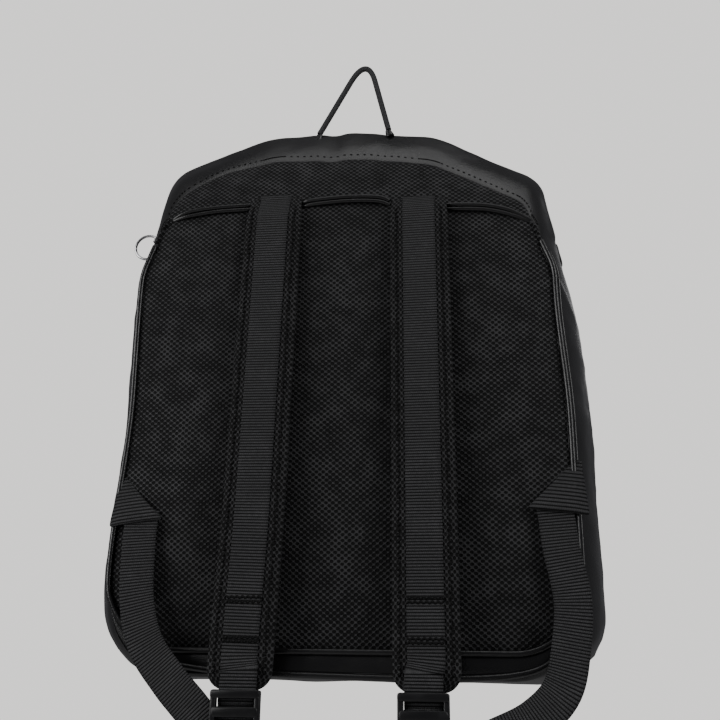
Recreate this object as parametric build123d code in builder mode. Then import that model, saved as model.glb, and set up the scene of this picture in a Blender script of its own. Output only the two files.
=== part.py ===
from build123d import *
from math import cos, pi, radians, sin, sqrt
import os

# A soft leather daypack, hanging by its cord. Millimetres, +Z up, the back that the wearer
# feels towards -Y. The origin is where the hang cord bears on the hook that holds it.

# ---- Driving dimensions ----
hang_shift = 9  # the cord has slipped this far, so the bag hangs to the left of its hook
cord_drop = 62  # hook to the top edge of the bag
cord_d = 4.8
cord_span = 60  # between the cord's two sewn ends
hook_r = 3.6  # of the hook that the cord goes round

bag_width = 370
bag_height = 444
bag_depth = 150
back_width = 326  # of the mesh back, between its side pipings
yoke_height = 82  # from the cross seam of the back up to the top edge
band_height = 20  # leather band under the mesh back
back_y = -30  # outer face of the mesh back
ridge_depth = 32  # from the back face to the ridge where the top edge is
belly_depth = 75  # from the back face to the widest place
front_width = 320
front_lift = 12  # the front's lower edge stands this far above the bottom
base_flat = 0.3  # the bottom is pressed flat by this much

wall = 2.4  # leather with its backing
pad_thick = 8.2
sheet_thick = 1.5
sheet_gap = 0.2
lining_thick = 0.8
lining_gap = 0.3
piping_r = 2.6

strap_width = 45
strap_thick = 10
strap_top_spacing = 115
strap_low_spacing = 123
strap_length = 370
webbing_width = 25
webbing_thick = 1.4

tape_width = 8
tooth_width = 2
zip_slit = 2  # between the two rows of teeth
zip_leg = 98  # the zip reaches this far below the top edge, on both sides
flap_fold = 68  # the front folds open this far below the top edge
seam_gap = 1.0

lock_width = 33
lock_thick = 5
bar_r = 1.9

ring_r = 11  # to the middle of its wire
ring_wire = 1.1

pocket_width = 226
pocket_height = 206
pocket_depth = 16
pocket_wall = 2

# ---- Worked out from them ----
mid_x = -hang_shift
top_z = -cord_drop
bottom_z = top_z - bag_height
cross_z = top_z - yoke_height
band_z = bottom_z + band_height
ridge_y = back_y + ridge_depth
belly_y = back_y + belly_depth
front_y = back_y + bag_depth
back_half = back_width / 2
bag_half = bag_width / 2
fold_z = top_z - flap_fold
leg_z = top_z - zip_leg
ridge_half = bag_half - 5
ridge_shoulder = bag_half - 27
belly_shoulder = bag_half - 25
knee_z = top_z - 168  # the sides lean in from here up to the shoulders
shoulder_z = top_z - 42
back_knee_z = cross_z - 56
front_shoulder_z = top_z - 64
FAR = 800  # cutting tools reach past everything


def save(piece, name):
    """Labels a finished piece and writes its STEP file."""
    piece.part.label = name
    export_step(piece.part, f"parts/{name}.step")


def face_plane(y):
    """An upright plane across the bag at depth y, centred on the bag's middle."""
    return Plane(origin=(mid_x, y, 0), x_dir=(1, 0, 0), z_dir=(0, -1, 0))


def side_plane(x):
    """An upright plane along the bag's depth, x from its middle."""
    return Plane(origin=(mid_x + x, 0, 0), x_dir=(0, 1, 0), z_dir=(1, 0, 0))


def outline(half, bottom, knee, shoulder_half, shoulder, top_half, top, radii):
    """The bag's outline at one depth: straight sides, leaning shoulders and a low crown."""
    right = [(half, bottom), (half, knee), (shoulder_half, shoulder), (top_half, top)]
    left = [(-x, z) for x, z in reversed(right)]
    low_r, knee_r, shoulder_r, top_r = radii
    FilletPolyline(
        *right,
        *left,
        radius=[low_r, knee_r, shoulder_r, top_r, top_r, shoulder_r, knee_r, low_r],
        close=True,
    )


def back_outline(inset, bottom):
    """Outline of the mesh back, or of the bag where the back begins."""
    outline(back_half - inset, bottom, back_knee_z, back_half - 17 - inset, cross_z - 7 - inset,
            60, cross_z - inset, [45 - inset, 60, 20 - inset, 60])


def bag_block(inset):
    """The bag's outer shape, or the same shape a wall's thickness further in."""
    with BuildPart() as block:
        with BuildSketch(face_plane(back_y)):
            with BuildLine():
                back_outline(inset, bottom_z + 2 + inset)
            make_face()
        for y, half, shoulder_half in (
            (ridge_y, ridge_half, ridge_shoulder),
            (belly_y, bag_half, belly_shoulder),
        ):
            with BuildSketch(face_plane(y)):
                with BuildLine():
                    outline(half - inset, bottom_z + inset, knee_z, shoulder_half - inset,
                            shoulder_z - inset / 2, 70, top_z - inset, [45 - inset, 60, 38 - inset, 60])
                make_face()
        with BuildSketch(face_plane(front_y)):
            with BuildLine():
                outline(front_width / 2 - inset, bottom_z + front_lift + inset, knee_z,
                        front_width / 2 - 15 - inset, front_shoulder_z - inset / 2, 80, top_z - 50 - inset,
                        [45 - inset, 60, 20 - inset, 60])
            make_face()
        loft(ruled=True)
    return block.part


def keep(y0, y1, z0, z1, mode=Mode.INTERSECT):
    """Keeps, or cuts away, what lies between two depths and two heights."""
    with BuildSketch(face_plane(y0)) as window:
        with Locations((0, (z0 + z1) / 2)):
            Rectangle(FAR, z1 - z0)
    extrude(window.sketch, amount=-(y1 - y0), mode=mode)


os.makedirs("parts", exist_ok=True)

# ---- The bag's shell: a hollow block, cut into its sewn panels ----
outer = bag_block(0)
cavity_back = back_y + pad_thick + sheet_gap + sheet_thick + sheet_gap

with BuildPart() as cavity:
    add(bag_block(wall))
    keep(cavity_back, front_y - wall, -FAR, FAR)

with BuildPart() as shell:
    add(outer)
    add(cavity.part, mode=Mode.SUBTRACT)
    with BuildSketch(face_plane(back_y - 1)):
        with BuildLine():
            back_outline(0, band_z)
        make_face()
    extrude(amount=-(cavity_back - back_y + 1), mode=Mode.SUBTRACT)

with BuildPart() as back_pad:
    with BuildSketch(face_plane(back_y)):
        with BuildLine():
            back_outline(0, band_z)
        make_face()
    extrude(amount=-pad_thick)
    add(outer, mode=Mode.INTERSECT)
save(back_pad, "back_pad")

with BuildPart() as back_sheet:
    with BuildSketch(face_plane(back_y + pad_thick + sheet_gap)):
        with BuildLine():
            back_outline(6, band_z + 6)
        make_face()
    extrude(amount=-sheet_thick)
save(back_sheet, "back_sheet")

# The zip runs over the top and down both sides, just in front of the ridge.
zip_y = ridge_y + 12
tape_rear_y = zip_y - zip_slit / 2 - tooth_width - tape_width
tape_front_y = zip_y + zip_slit / 2 + tooth_width + tape_width
teeth_rear_y = zip_y - zip_slit / 2 - tooth_width
teeth_front_y = zip_y + zip_slit / 2 + tooth_width

with BuildPart() as yoke_tool:
    yoke_rise = 49  # the yoke's upper seam is an arc this much higher than the cross seam
    yoke_half = 145
    yoke_r = (yoke_half**2 + yoke_rise**2) / (2 * yoke_rise)
    with BuildSketch(face_plane(back_y - 1)):
        with Locations((0, cross_z + yoke_rise - yoke_r)):
            Circle(yoke_r)
        with Locations((0, cross_z + 4 - FAR / 2)):
            Rectangle(FAR, FAR, mode=Mode.SUBTRACT)
        with Locations((0, cross_z - 2)):
            Rectangle(2 * (back_half - 24), 12.2)
    extrude(amount=-(tape_rear_y - back_y + 1))

with BuildPart() as mesh_yoke:
    add(shell.part)
    add(yoke_tool.part, mode=Mode.INTERSECT)
save(mesh_yoke, "mesh_yoke")

with BuildPart() as top_panel:
    add(shell.part)
    keep(back_y - 5, tape_rear_y, fold_z, FAR)
    add(yoke_tool.part, mode=Mode.SUBTRACT)
save(top_panel, "top_panel")

with BuildPart() as gussets:
    add(shell.part)
    keep(back_y - 5, front_y - 8, band_z, fold_z)
    keep(tape_rear_y, tape_front_y, leg_z, FAR, mode=Mode.SUBTRACT)
    add(yoke_tool.part, mode=Mode.SUBTRACT)
for side, name in ((-1, "left_gusset"), (1, "right_gusset")):
    with BuildPart() as gusset:
        add(gussets.part)
        with BuildSketch(side_plane(0)):
            Rectangle(FAR, 2 * FAR)
        extrude(amount=side * FAR, mode=Mode.INTERSECT)
    save(gusset, name)

with BuildPart() as front_panel:
    add(shell.part)
    keep(front_y - 8, front_y + 5, band_z, fold_z)
save(front_panel, "front_panel")

with BuildPart() as bottom_panel:
    add(shell.part)
    keep(cavity_back, front_y + 5, bottom_z + base_flat, band_z)
save(bottom_panel, "bottom_panel")

with BuildPart() as back_band:
    add(shell.part)
    keep(back_y - 5, cavity_back, -FAR, band_z)
save(back_band, "back_band")

with BuildPart() as flap_panel:
    add(shell.part)
    keep(tape_front_y, front_y + 5, fold_z + seam_gap, FAR)
save(flap_panel, "flap_panel")

# ---- Zip: tapes a little inside the leather, rows of teeth flush with it ----
with BuildPart() as tape_shell:
    add(bag_block(0.7))
    add(bag_block(1.7), mode=Mode.SUBTRACT)

with BuildPart() as zip_tape_rear:
    add(tape_shell.part)
    keep(tape_rear_y, teeth_rear_y, leg_z, FAR)
save(zip_tape_rear, "zip_tape_rear")

with BuildPart() as zip_teeth_rear:
    add(shell.part)
    keep(teeth_rear_y, teeth_rear_y + tooth_width, leg_z, FAR)
save(zip_teeth_rear, "zip_teeth_rear")

with BuildPart() as zip_teeth_front:
    add(shell.part)
    keep(teeth_front_y - tooth_width, teeth_front_y, fold_z + seam_gap, FAR)
save(zip_teeth_front, "zip_teeth_front")

with BuildPart() as zip_tape_front:
    add(tape_shell.part)
    keep(teeth_front_y, tape_front_y, fold_z + seam_gap, FAR)
save(zip_tape_front, "zip_tape_front")

with BuildPart() as zip_lower_ends:
    add(shell.part)
    keep(teeth_front_y - tooth_width, tape_front_y, leg_z, fold_z)
save(zip_lower_ends, "zip_lower_ends")

with BuildPart() as zip_end_tabs:
    with BuildSketch(Plane(origin=(mid_x, zip_y, leg_z - 8))):
        with GridLocations(bag_width, 0, 2, 1):
            Rectangle(60, 14)
    extrude(amount=7)
    add(bag_block(-0.5), mode=Mode.INTERSECT)
    add(outer, mode=Mode.SUBTRACT)
save(zip_end_tabs, "zip_end_tabs")

lining_back = cavity_back + lining_gap
lining_front = front_y - wall - lining_gap

with BuildPart() as lining_room:
    add(bag_block(wall + lining_gap + lining_thick))
    keep(lining_back + lining_thick, lining_front - lining_thick, -FAR, FAR)

with BuildPart() as lining:
    add(bag_block(wall + lining_gap))
    keep(lining_back, lining_front, -FAR, leg_z - 12)
    add(lining_room.part, mode=Mode.SUBTRACT)
save(lining, "lining")

# ---- Piping: beads that stand proud of the shell along its seams ----
def bead(*routes):
    """Round piping along each route of points and corner radii; only what stands proud is kept."""
    with BuildPart() as piping:
        for points, radii in routes:
            with BuildLine() as path:
                if radii:
                    FilletPolyline(*points, radius=radii)
                else:
                    Polyline(*points)
            with BuildSketch(path.line ^ 0) as section:
                Circle(piping_r)
            sweep(section.sketch, path=path.line)
        add(outer, mode=Mode.SUBTRACT)
    return piping


def across(y, points):
    """Points given from the bag's middle, at one depth."""
    return [(mid_x + x, y, z) for x, z in points]


seam_half = back_half - 17  # where the side piping meets the cross seam
strap_gap_in = strap_top_spacing / 2 - strap_width / 2 - 3
strap_gap_out = strap_top_spacing / 2 + strap_width / 2 + 3
cross_end = seam_half - 8

back_piping = bead((across(back_y + 1, [
    (seam_half + 2, cross_z - 12), (back_half, back_knee_z), (back_half, band_z),
    (-back_half, band_z), (-back_half, back_knee_z), (-seam_half - 2, cross_z - 12),
]), [60, 45, 45, 60]))
save(back_piping, "back_piping")

cross_piping = bead(
    (across(back_y + 1, [(-cross_end, cross_z - 6.5), (-strap_gap_out, cross_z - 3)]), None),
    (across(back_y + 1, [(-strap_gap_in, cross_z - 1.5), (0, cross_z), (strap_gap_in, cross_z - 1.5)]),
     [200]),
    (across(back_y + 1, [(strap_gap_out, cross_z - 3), (cross_end, cross_z - 6.5)]), None),
)
save(cross_piping, "cross_piping")

band_piping = bead((across(back_y + 2, [
    (back_half - 22, bottom_z + 19), (back_half - 45, bottom_z + 2),
    (45 - back_half, bottom_z + 2), (22 - back_half, bottom_z + 19),
]), [50, 50]))
save(band_piping, "band_piping")

front_half = front_width / 2
front_end = (front_half - 15 * (fold_z - 6 - knee_z) / (front_shoulder_z - knee_z), fold_z - 6)
front_piping = bead((across(front_y - 1, [
    front_end, (front_half, knee_z), (front_half, bottom_z + front_lift),
    (-front_half, bottom_z + front_lift), (-front_half, knee_z), (-front_end[0], front_end[1]),
]), [60, 45, 45, 60]))
save(front_piping, "front_piping")

# ---- Hang cord: over its hook, both ends sewn into the top edge ----
cord_r = cord_d / 2
cord_foot_z = top_z + 1.2
cord_turn = hook_r + cord_r
cord_half_top = cord_turn * 0.95
cord_points = [(mid_x - cord_span / 2, 0, cord_foot_z), (-cord_half_top, 0, cord_r),
               (cord_half_top, 0, cord_r), (mid_x + cord_span / 2, 0, cord_foot_z)]
with BuildPart() as hang_cord:
    with BuildLine() as cord_path:
        FilletPolyline(*cord_points, radius=[cord_turn, cord_turn])
    with BuildSketch(cord_path.line ^ 0):
        Circle(cord_r)
    sweep(path=cord_path.line)
cord_length = sum(edge.length for edge in cord_path.line.edges())
cord_share = hang_cord.part.volume / (pi * cord_r**2 * cord_length)
print("hang cord length", round(cord_length, 1), "arc radius", cord_turn,
      "volume share", round(cord_share, 4))
save(hang_cord, "hang_cord")

with BuildPart() as cord_anchors:
    anchor_width = 9
    anchor_height = 5
    with BuildSketch(Plane.XY.offset(cord_foot_z - anchor_height)):
        with Locations((mid_x - cord_span / 2, 0), (mid_x + cord_span / 2, 0)):
            RectangleRounded(anchor_width, anchor_width - 2, 2.5)
    extrude(amount=anchor_height)
    add(outer, mode=Mode.SUBTRACT)
    add(hang_cord.part, mode=Mode.SUBTRACT)
save(cord_anchors, "cord_anchors")

# ---- Shoulder straps ----
strap_top_z = cross_z + 2.5
strap_low_z = strap_top_z - strap_length
strap_top_x = strap_top_spacing / 2
strap_low_x = strap_low_spacing / 2
strap_top_y = back_y - strap_thick - 1.5  # face of the strap at its top, middle and lower end
strap_middle_y = strap_top_y - 10
strap_low_y = strap_top_y - 15.5


def strap_face(out):
    """The strap's outward face in side view, moved out by a distance."""
    return [(strap_top_y - out, strap_top_z), (strap_middle_y - out, (strap_top_z + strap_low_z) / 2 + 6),
            (strap_low_y - out, strap_low_z)]


def strap_layer(inner, outward):
    """A layer of the strap between two distances out from its face, as wide as the bag."""
    with BuildSketch(side_plane(0)) as layer:
        with BuildLine():
            face_line = ThreePointArc(*strap_face(outward))
            back_line = ThreePointArc(*strap_face(inner))
            Line(face_line @ 0, back_line @ 0)
            Line(face_line @ 1, back_line @ 1)
        make_face()
    return extrude(layer.sketch, amount=bag_half, mode=Mode.PRIVATE)


strap_lean = (strap_low_x - strap_top_x) / strap_length

# Everything on the right is made first and then mirrored.
with BuildPart() as right_strap:
    half = strap_width / 2
    with BuildSketch(face_plane(strap_low_y - 20)) as strap_front:
        with BuildLine():
            FilletPolyline((strap_top_x - half, strap_top_z), (strap_top_x + half, strap_top_z),
                           (strap_low_x + half, strap_low_z), (strap_low_x - half, strap_low_z),
                           radius=[1, 1, 12, 12], close=True)
        make_face()
    extrude(amount=-60)
    add(strap_layer(-strap_thick, 0), mode=Mode.INTERSECT)

# Ladder lock: a frame with three bars, hung in the folded end of the strap's webbing.
lock_y = strap_low_y - webbing_thick - 4.6
top_bar_z = strap_low_z - 1.5
middle_bar_z = top_bar_z - 12
low_bar_z = middle_bar_z - 13
rail_width = 3.2
bar_clear = 0.6
fold_r = bar_r + bar_clear

with BuildPart() as right_webbing:
    half = webbing_width / 2
    with BuildSketch(face_plane(strap_low_y - 20)) as webbing_front:
        with BuildLine():
            Polyline((strap_top_x - half, strap_top_z), (strap_top_x + half, strap_top_z),
                     (strap_low_x + half, strap_low_z + 16), (strap_low_x - half, strap_low_z + 16), close=True)
        make_face()
    extrude(amount=-60)
    add(strap_layer(0, webbing_thick), mode=Mode.INTERSECT)
    fold_start = (strap_low_y - webbing_thick, strap_low_z + 15)
    with BuildSketch(side_plane(strap_low_x - half)):
        with Locations((lock_y, top_bar_z)):
            Circle(fold_r + webbing_thick)
        with Locations(fold_start):
            Circle(webbing_thick)
        make_hull()
        with Locations((lock_y, top_bar_z)):
            Circle(fold_r, mode=Mode.SUBTRACT)
    extrude(amount=webbing_width)
    add(right_strap.part, mode=Mode.SUBTRACT)

with BuildPart() as right_lock:
    with BuildSketch(face_plane(lock_y - lock_thick / 2)):
        with Locations((strap_low_x, (top_bar_z + low_bar_z) / 2)):
            Rectangle(lock_width, top_bar_z - low_bar_z + 2 * bar_r)
            Rectangle(lock_width - 2 * rail_width, FAR, mode=Mode.SUBTRACT)
    extrude(amount=-lock_thick)
    with BuildSketch(side_plane(strap_low_x - lock_width / 2)):
        with Locations((lock_y, top_bar_z), (lock_y, middle_bar_z), (lock_y, low_bar_z)):
            Circle(bar_r)
    extrude(amount=lock_width)

# Lower webbing: from its tab in the side seam, down and under, and up round the lock's middle bar.
tab_z = bottom_z + 114
low_top_z = tab_z - 8
grip_r = bar_r + 1.9
grip_low_z = low_bar_z - 6
grip_spread = grip_r + 4
low_start_y = back_y - 5.2
low_end_y = lock_y + grip_spread
low_fall = low_top_z - grip_low_z
low_run = low_end_y - low_start_y
tab_x = back_half - 17
low_plane = Plane(origin=(mid_x, low_start_y, low_top_z), x_dir=(1, 0, 0), z_dir=(0, -low_fall, -low_run))
slant = sqrt(low_fall**2 + low_run**2)

with BuildPart() as right_adjuster:
    with BuildSketch(low_plane):
        with BuildLine():
            FilletPolyline((tab_x, 0), (tab_x + 8, -50), (tab_x + 4, -105), (tab_x - 26, -slant - 12),
                           (strap_low_x + 5, -slant - 14), (strap_low_x, -slant + 9), radius=[60, 60, 30, 16])
        trace(line_width=webbing_width)
    extrude(amount=webbing_thick / 2, both=True)
    with BuildSketch(side_plane(strap_low_x - webbing_width / 2)):
        with Locations((lock_y, middle_bar_z)):
            Circle(grip_r + webbing_thick)
        with Locations((lock_y, grip_low_z)):
            Rectangle(2 * grip_spread + webbing_thick, 0.4)
        make_hull()
    extrude(amount=webbing_width)
    with BuildSketch(side_plane(strap_low_x - webbing_width / 2)):
        with Locations((lock_y, middle_bar_z)):
            Circle(grip_r)
        with Locations((lock_y, grip_low_z - 0.5)):
            Rectangle(2 * grip_spread - webbing_thick, 0.4)
        make_hull()
    extrude(amount=webbing_width, mode=Mode.SUBTRACT)
    tail_length = 42
    with BuildSketch(side_plane(strap_low_x - webbing_width / 2)):
        with Locations((lock_y - grip_spread, grip_low_z - tail_length / 2)):
            Rectangle(webbing_thick, tail_length)
    extrude(amount=webbing_width)

with BuildPart() as right_tab:
    tab_thick = 3
    with BuildSketch(face_plane(back_y - 0.2)):
        with BuildLine():
            Polyline((back_half + 1, tab_z + 22), (back_half + 1, tab_z - 6),
                     (tab_x - 13, tab_z - 6), close=True)
        make_face()
    extrude(amount=tab_thick)
    add(back_piping.part, mode=Mode.SUBTRACT)

with BuildPart() as right_root:
    with BuildSketch(face_plane(back_y - strap_thick)):
        with Locations((strap_top_x, strap_top_z + seam_gap + 4)):
            Rectangle(strap_width, 8)
    extrude(amount=-strap_thick - 8)
    add(outer, mode=Mode.SUBTRACT)
    add(cross_piping.part, mode=Mode.SUBTRACT)

for piece, name in (
    (right_strap, "shoulder_strap"),
    (right_webbing, "strap_webbing"),
    (right_lock, "ladder_lock"),
    (right_adjuster, "adjuster_webbing"),
    (right_tab, "anchor_tab"),
    (right_root, "strap_root"),
):
    save(piece, f"right_{name}")
    with BuildPart() as left_piece:
        mirror(piece.part, about=side_plane(0))
    save(left_piece, f"left_{name}")

# ---- Main zip's slider, on the straight left leg of the zip ----
slider_rise = 17.5  # above the zip's lower end
slider_clear = 0.9
belly_share = (zip_y - ridge_y) / (belly_y - ridge_y)
leg_half = ridge_half + (bag_half - ridge_half) * belly_share
leg_shoulder = ridge_shoulder + (belly_shoulder - ridge_shoulder) * belly_share
leg_lean = (leg_half - leg_shoulder) / (shoulder_z - knee_z)  # the wall's inward lean per step up
slider_z = leg_z + slider_rise
slider_x = -(leg_half - leg_lean * (slider_z - knee_z))
leg_up = Vector(leg_lean, 0, 1).normalized()
leg_out = Vector(-1, 0, leg_lean).normalized()
leg_plane = Plane(origin=(mid_x + slider_x, zip_y, slider_z), x_dir=(0, 1, 0), z_dir=leg_out)

plate_thick = 1.2
plate_width = 8.4
plate_length = 11
neck_width = 0.9
bar_pin_r = 0.7
hub_width = 4.6  # of both pulls, round their bars
bar_out = slider_clear + plate_thick + 2.2  # the pull's bar stands this far off the wall

with BuildPart() as zip_slider:
    with BuildSketch(leg_plane.offset(slider_clear)):
        RectangleRounded(plate_width, plate_length, 2)
    extrude(amount=plate_thick)
    with BuildSketch(leg_plane.offset(-wall - slider_clear - plate_thick)):
        RectangleRounded(plate_width, plate_length, 2)
    extrude(amount=plate_thick)
    with BuildSketch(leg_plane.offset(-wall - slider_clear - plate_thick / 2)):
        Rectangle(neck_width, 4)
    extrude(amount=wall + 2 * slider_clear + plate_thick)
    with BuildSketch(leg_plane.offset(slider_clear + plate_thick)):
        with GridLocations(6.4, 0, 2, 1):
            Rectangle(1, 3)
    extrude(amount=3.1)
    bar_at = leg_plane.origin + leg_out * bar_out
    with BuildSketch(Plane(origin=(bar_at.X, zip_y - 3.2, bar_at.Z), x_dir=(1, 0, 0), z_dir=(0, 1, 0))):
        Circle(bar_pin_r)
    extrude(amount=6.4)
save(zip_slider, "zip_slider")

pull_length = 10.5
pull_width = 6
pull_thick = 1.2
pull_swing = 28  # degrees that the pull stands out from the leg, held out by its ring
eye_drop = 6
eye_length = 6
eye_width = 3.4
pull_down = leg_out * sin(radians(pull_swing)) - leg_up * cos(radians(pull_swing))
pull_face = leg_out * cos(radians(pull_swing)) + leg_up * sin(radians(pull_swing))
pull_plane = Plane(origin=bar_at, x_dir=(0, 1, 0), z_dir=pull_face)

with BuildPart() as zip_pull:
    with BuildSketch(pull_plane.offset(-pull_thick / 2)):
        with Locations((0, pull_length / 2)):
            RectangleRounded(pull_width, pull_length, 2)
        with Locations((0, eye_drop)):
            SlotOverall(eye_length, eye_width, rotation=90, mode=Mode.SUBTRACT)
    extrude(amount=pull_thick)
    with BuildSketch(Plane(origin=bar_at - Vector(0, hub_width / 2, 0), x_dir=(1, 0, 0), z_dir=(0, 1, 0))):
        Circle(bar_pin_r + 0.85)
    extrude(amount=hub_width)
    for side in (-1, 1):
        with BuildSketch(pull_plane.offset(-2)):
            with Locations((side * (hub_width + 4) / 2, 0)):
                Rectangle(4, 5)
        extrude(amount=4, mode=Mode.SUBTRACT)
    with BuildSketch(Plane(origin=bar_at - Vector(0, hub_width, 0), x_dir=(1, 0, 0), z_dir=(0, 1, 0))):
        Circle(bar_pin_r + 0.15)
    extrude(amount=2 * hub_width, mode=Mode.SUBTRACT)
save(zip_pull, "zip_pull")

# The ring hangs in the pull's eye and rests against the leather beside it.
ring_swing = 36  # degrees out from the leg
eye_at = bar_at + pull_down * eye_drop
ring_at = eye_at + (leg_out * sin(radians(ring_swing)) - leg_up * cos(radians(ring_swing))) * ring_r
with BuildPart() as zip_ring:
    with BuildSketch(Plane(origin=ring_at, x_dir=leg_up, z_dir=leg_out)):
        with Locations((ring_r, 0)):
            Circle(ring_wire)
    revolve(axis=Axis(ring_at, (0, 1, 0)))
save(zip_ring, "zip_ring")
print("hinges: pull bar", bar_at, "ring eye", eye_at, "zip leg up", leg_up)

# ---- Front pocket with a zip along its top ----
pocket_top_z = fold_z - 104
pocket_low_z = pocket_top_z - pocket_height
pocket_mid_z = (pocket_top_z + pocket_low_z) / 2
pocket_front_y = front_y + pocket_depth
slit_y = front_y + pocket_depth / 2
mouth_half = pocket_width / 2 - 14
lid_thick = 2

with BuildPart() as pocket_panel:
    with BuildSketch(face_plane(front_y)):
        with Locations((0, pocket_mid_z)):
            RectangleRounded(pocket_width, pocket_height, 12)
    extrude(amount=-pocket_depth)
    with BuildSketch(face_plane(front_y)):
        with Locations((0, pocket_mid_z)):
            RectangleRounded(pocket_width - 2 * pocket_wall, pocket_height - 2 * pocket_wall, 10)
    extrude(amount=-(pocket_depth - pocket_wall), mode=Mode.SUBTRACT)
    with BuildSketch(face_plane(front_y - 1)):
        with Locations((0, pocket_top_z)):
            Rectangle(2 * mouth_half, 2 * lid_thick + 2)
    extrude(amount=-FAR, mode=Mode.SUBTRACT)
save(pocket_panel, "pocket_panel")

for name, y0, y1 in (("pocket_tape_back", front_y, slit_y - zip_slit / 2),
                     ("pocket_tape_front", slit_y + zip_slit / 2, pocket_front_y)):
    with BuildPart() as pocket_tape:
        with BuildSketch(face_plane(y0)):
            with Locations((0, pocket_top_z - lid_thick / 2)):
                Rectangle(2 * mouth_half, lid_thick)
        extrude(amount=-(y1 - y0))
    save(pocket_tape, name)

pocket_slider_x = mouth_half - 8
pull_y = pocket_front_y + 1.8
with BuildPart() as pocket_slider:
    over_z = pocket_top_z + slider_clear
    under_z = pocket_top_z - lid_thick - slider_clear - plate_thick
    for z in (over_z, under_z):
        with BuildSketch(Plane(origin=(mid_x - pocket_slider_x, slit_y, z))):
            RectangleRounded(10, plate_width, 2)
        extrude(amount=plate_thick)
    with BuildSketch(Plane(origin=(mid_x - pocket_slider_x, slit_y, under_z + plate_thick / 2))):
        Rectangle(4, neck_width)
    extrude(amount=over_z - under_z)
    with BuildSketch(Plane(origin=(mid_x - pocket_slider_x, (slit_y + pull_y) / 2, over_z))):
        with GridLocations(6.4, 0, 2, 1):
            Rectangle(1, pull_y - slit_y + 1.4)
    extrude(amount=plate_thick + 1.2)
    with BuildSketch(Plane(origin=(mid_x - pocket_slider_x - 3.2, pull_y, over_z + 1.6), x_dir=(0, 1, 0),
                           z_dir=(1, 0, 0))):
        Circle(bar_pin_r)
    extrude(amount=6.4)
save(pocket_slider, "pocket_slider")

with BuildPart() as pocket_pull:
    pocket_bar = Vector(mid_x - pocket_slider_x, pull_y, over_z + 1.6)
    pocket_pull_face = pocket_bar + Vector(0, -pull_thick / 2, 0)
    with BuildSketch(Plane(origin=pocket_pull_face, x_dir=(-1, 0, 0), z_dir=(0, 1, 0))):
        with Locations((0, -11)):
            RectangleRounded(hub_width, 22, 2)
        with Locations((0, -18.6)):
            Circle(1.3, mode=Mode.SUBTRACT)
    extrude(amount=pull_thick)
    for reach, radius, mode in (
        (hub_width, bar_pin_r + 0.85, Mode.ADD),
        (2 * hub_width, bar_pin_r + 0.15, Mode.SUBTRACT),
    ):
        hub_end = pocket_bar - Vector(reach / 2, 0, 0)
        with BuildSketch(Plane(origin=hub_end, x_dir=(0, 1, 0), z_dir=(1, 0, 0))):
            Circle(radius)
        extrude(amount=reach, mode=mode)
save(pocket_pull, "pocket_pull")
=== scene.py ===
"""A soft leather daypack with a padded mesh back, hanging by its cord."""

from math import cos, pi, radians, sin, sqrt

import bmesh
import bpy
from bpy.props import FloatProperty, FloatVectorProperty, IntProperty, PointerProperty
from mathutils import Matrix, Vector, noise


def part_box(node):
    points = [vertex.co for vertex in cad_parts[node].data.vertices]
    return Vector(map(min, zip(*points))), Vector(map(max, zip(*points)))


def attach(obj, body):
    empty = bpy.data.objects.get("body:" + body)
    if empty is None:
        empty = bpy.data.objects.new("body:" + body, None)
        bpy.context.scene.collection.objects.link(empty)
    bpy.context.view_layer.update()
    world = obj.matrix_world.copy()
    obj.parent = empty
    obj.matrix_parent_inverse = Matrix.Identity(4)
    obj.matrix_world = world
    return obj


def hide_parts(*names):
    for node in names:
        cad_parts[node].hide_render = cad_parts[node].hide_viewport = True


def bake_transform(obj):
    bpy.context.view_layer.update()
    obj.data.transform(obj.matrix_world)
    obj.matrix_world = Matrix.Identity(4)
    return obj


bl_info = {
    "name": "Leather Daypack",
    "version": (1, 0, 0),
    "blender": (4, 5, 0),
    "location": "View3D > Sidebar > Daypack",
    "description": "Builds a hanging leather daypack with padded straps, zips and webbing",
    "category": "Object",
}

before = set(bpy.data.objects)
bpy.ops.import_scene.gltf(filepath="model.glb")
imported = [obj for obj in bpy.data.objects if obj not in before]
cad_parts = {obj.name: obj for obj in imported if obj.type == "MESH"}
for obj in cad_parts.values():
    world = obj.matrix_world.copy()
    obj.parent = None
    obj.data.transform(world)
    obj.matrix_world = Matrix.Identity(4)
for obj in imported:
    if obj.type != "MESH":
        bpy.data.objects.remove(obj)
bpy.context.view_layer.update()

# Heights and depths are in millimetres: z down from the hang point, y from the back to the front.
MM = 0.001
MIDDLE = (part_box("back_pad")[0][0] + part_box("back_pad")[1][0]) / 2
SIDES = ((-1, "left"), (1, "right"))
CROSS_SEAM = -144
YOKE_CORNER = -151
STRAP_TOP = -137
STRAP_END = -511.4
FOLD = -130
LEG_END = -160
BAND = -486
BACK_FACE = -30
FRONT_FACE = 120
TAPE_REAR = 3
TEETH_REAR = 12
ZIP_MIDDLE = 14
PATCH_HALF = 7
TAPE_SUNK = 2.5
TEETH_SUNK = 2.0
TEETH_FRONT = 16
TAPE_FRONT = 25


def at(x, y, z):
    """A place given in millimetres from the bag's middle line, in the frame's metres."""
    return Vector((MIDDLE + x * MM, y * MM, z * MM))


def ease(value, low, high):
    """0 below low, 1 above high, smooth between."""
    share = min(1.0, max(0.0, (value - low) / (high - low)))
    return share * share * (3 - 2 * share)


# ---- Settings ----


def size(name, description, default, low, high):
    """A length, in metres."""
    return FloatProperty(name=name, description=description, default=default, min=low, max=high,
                         subtype="DISTANCE", unit="LENGTH")


def tint(name, description, default):
    """A linear colour."""
    return FloatVectorProperty(name=name, description=description, default=default,
                               min=0, max=1, subtype="COLOR")


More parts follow.
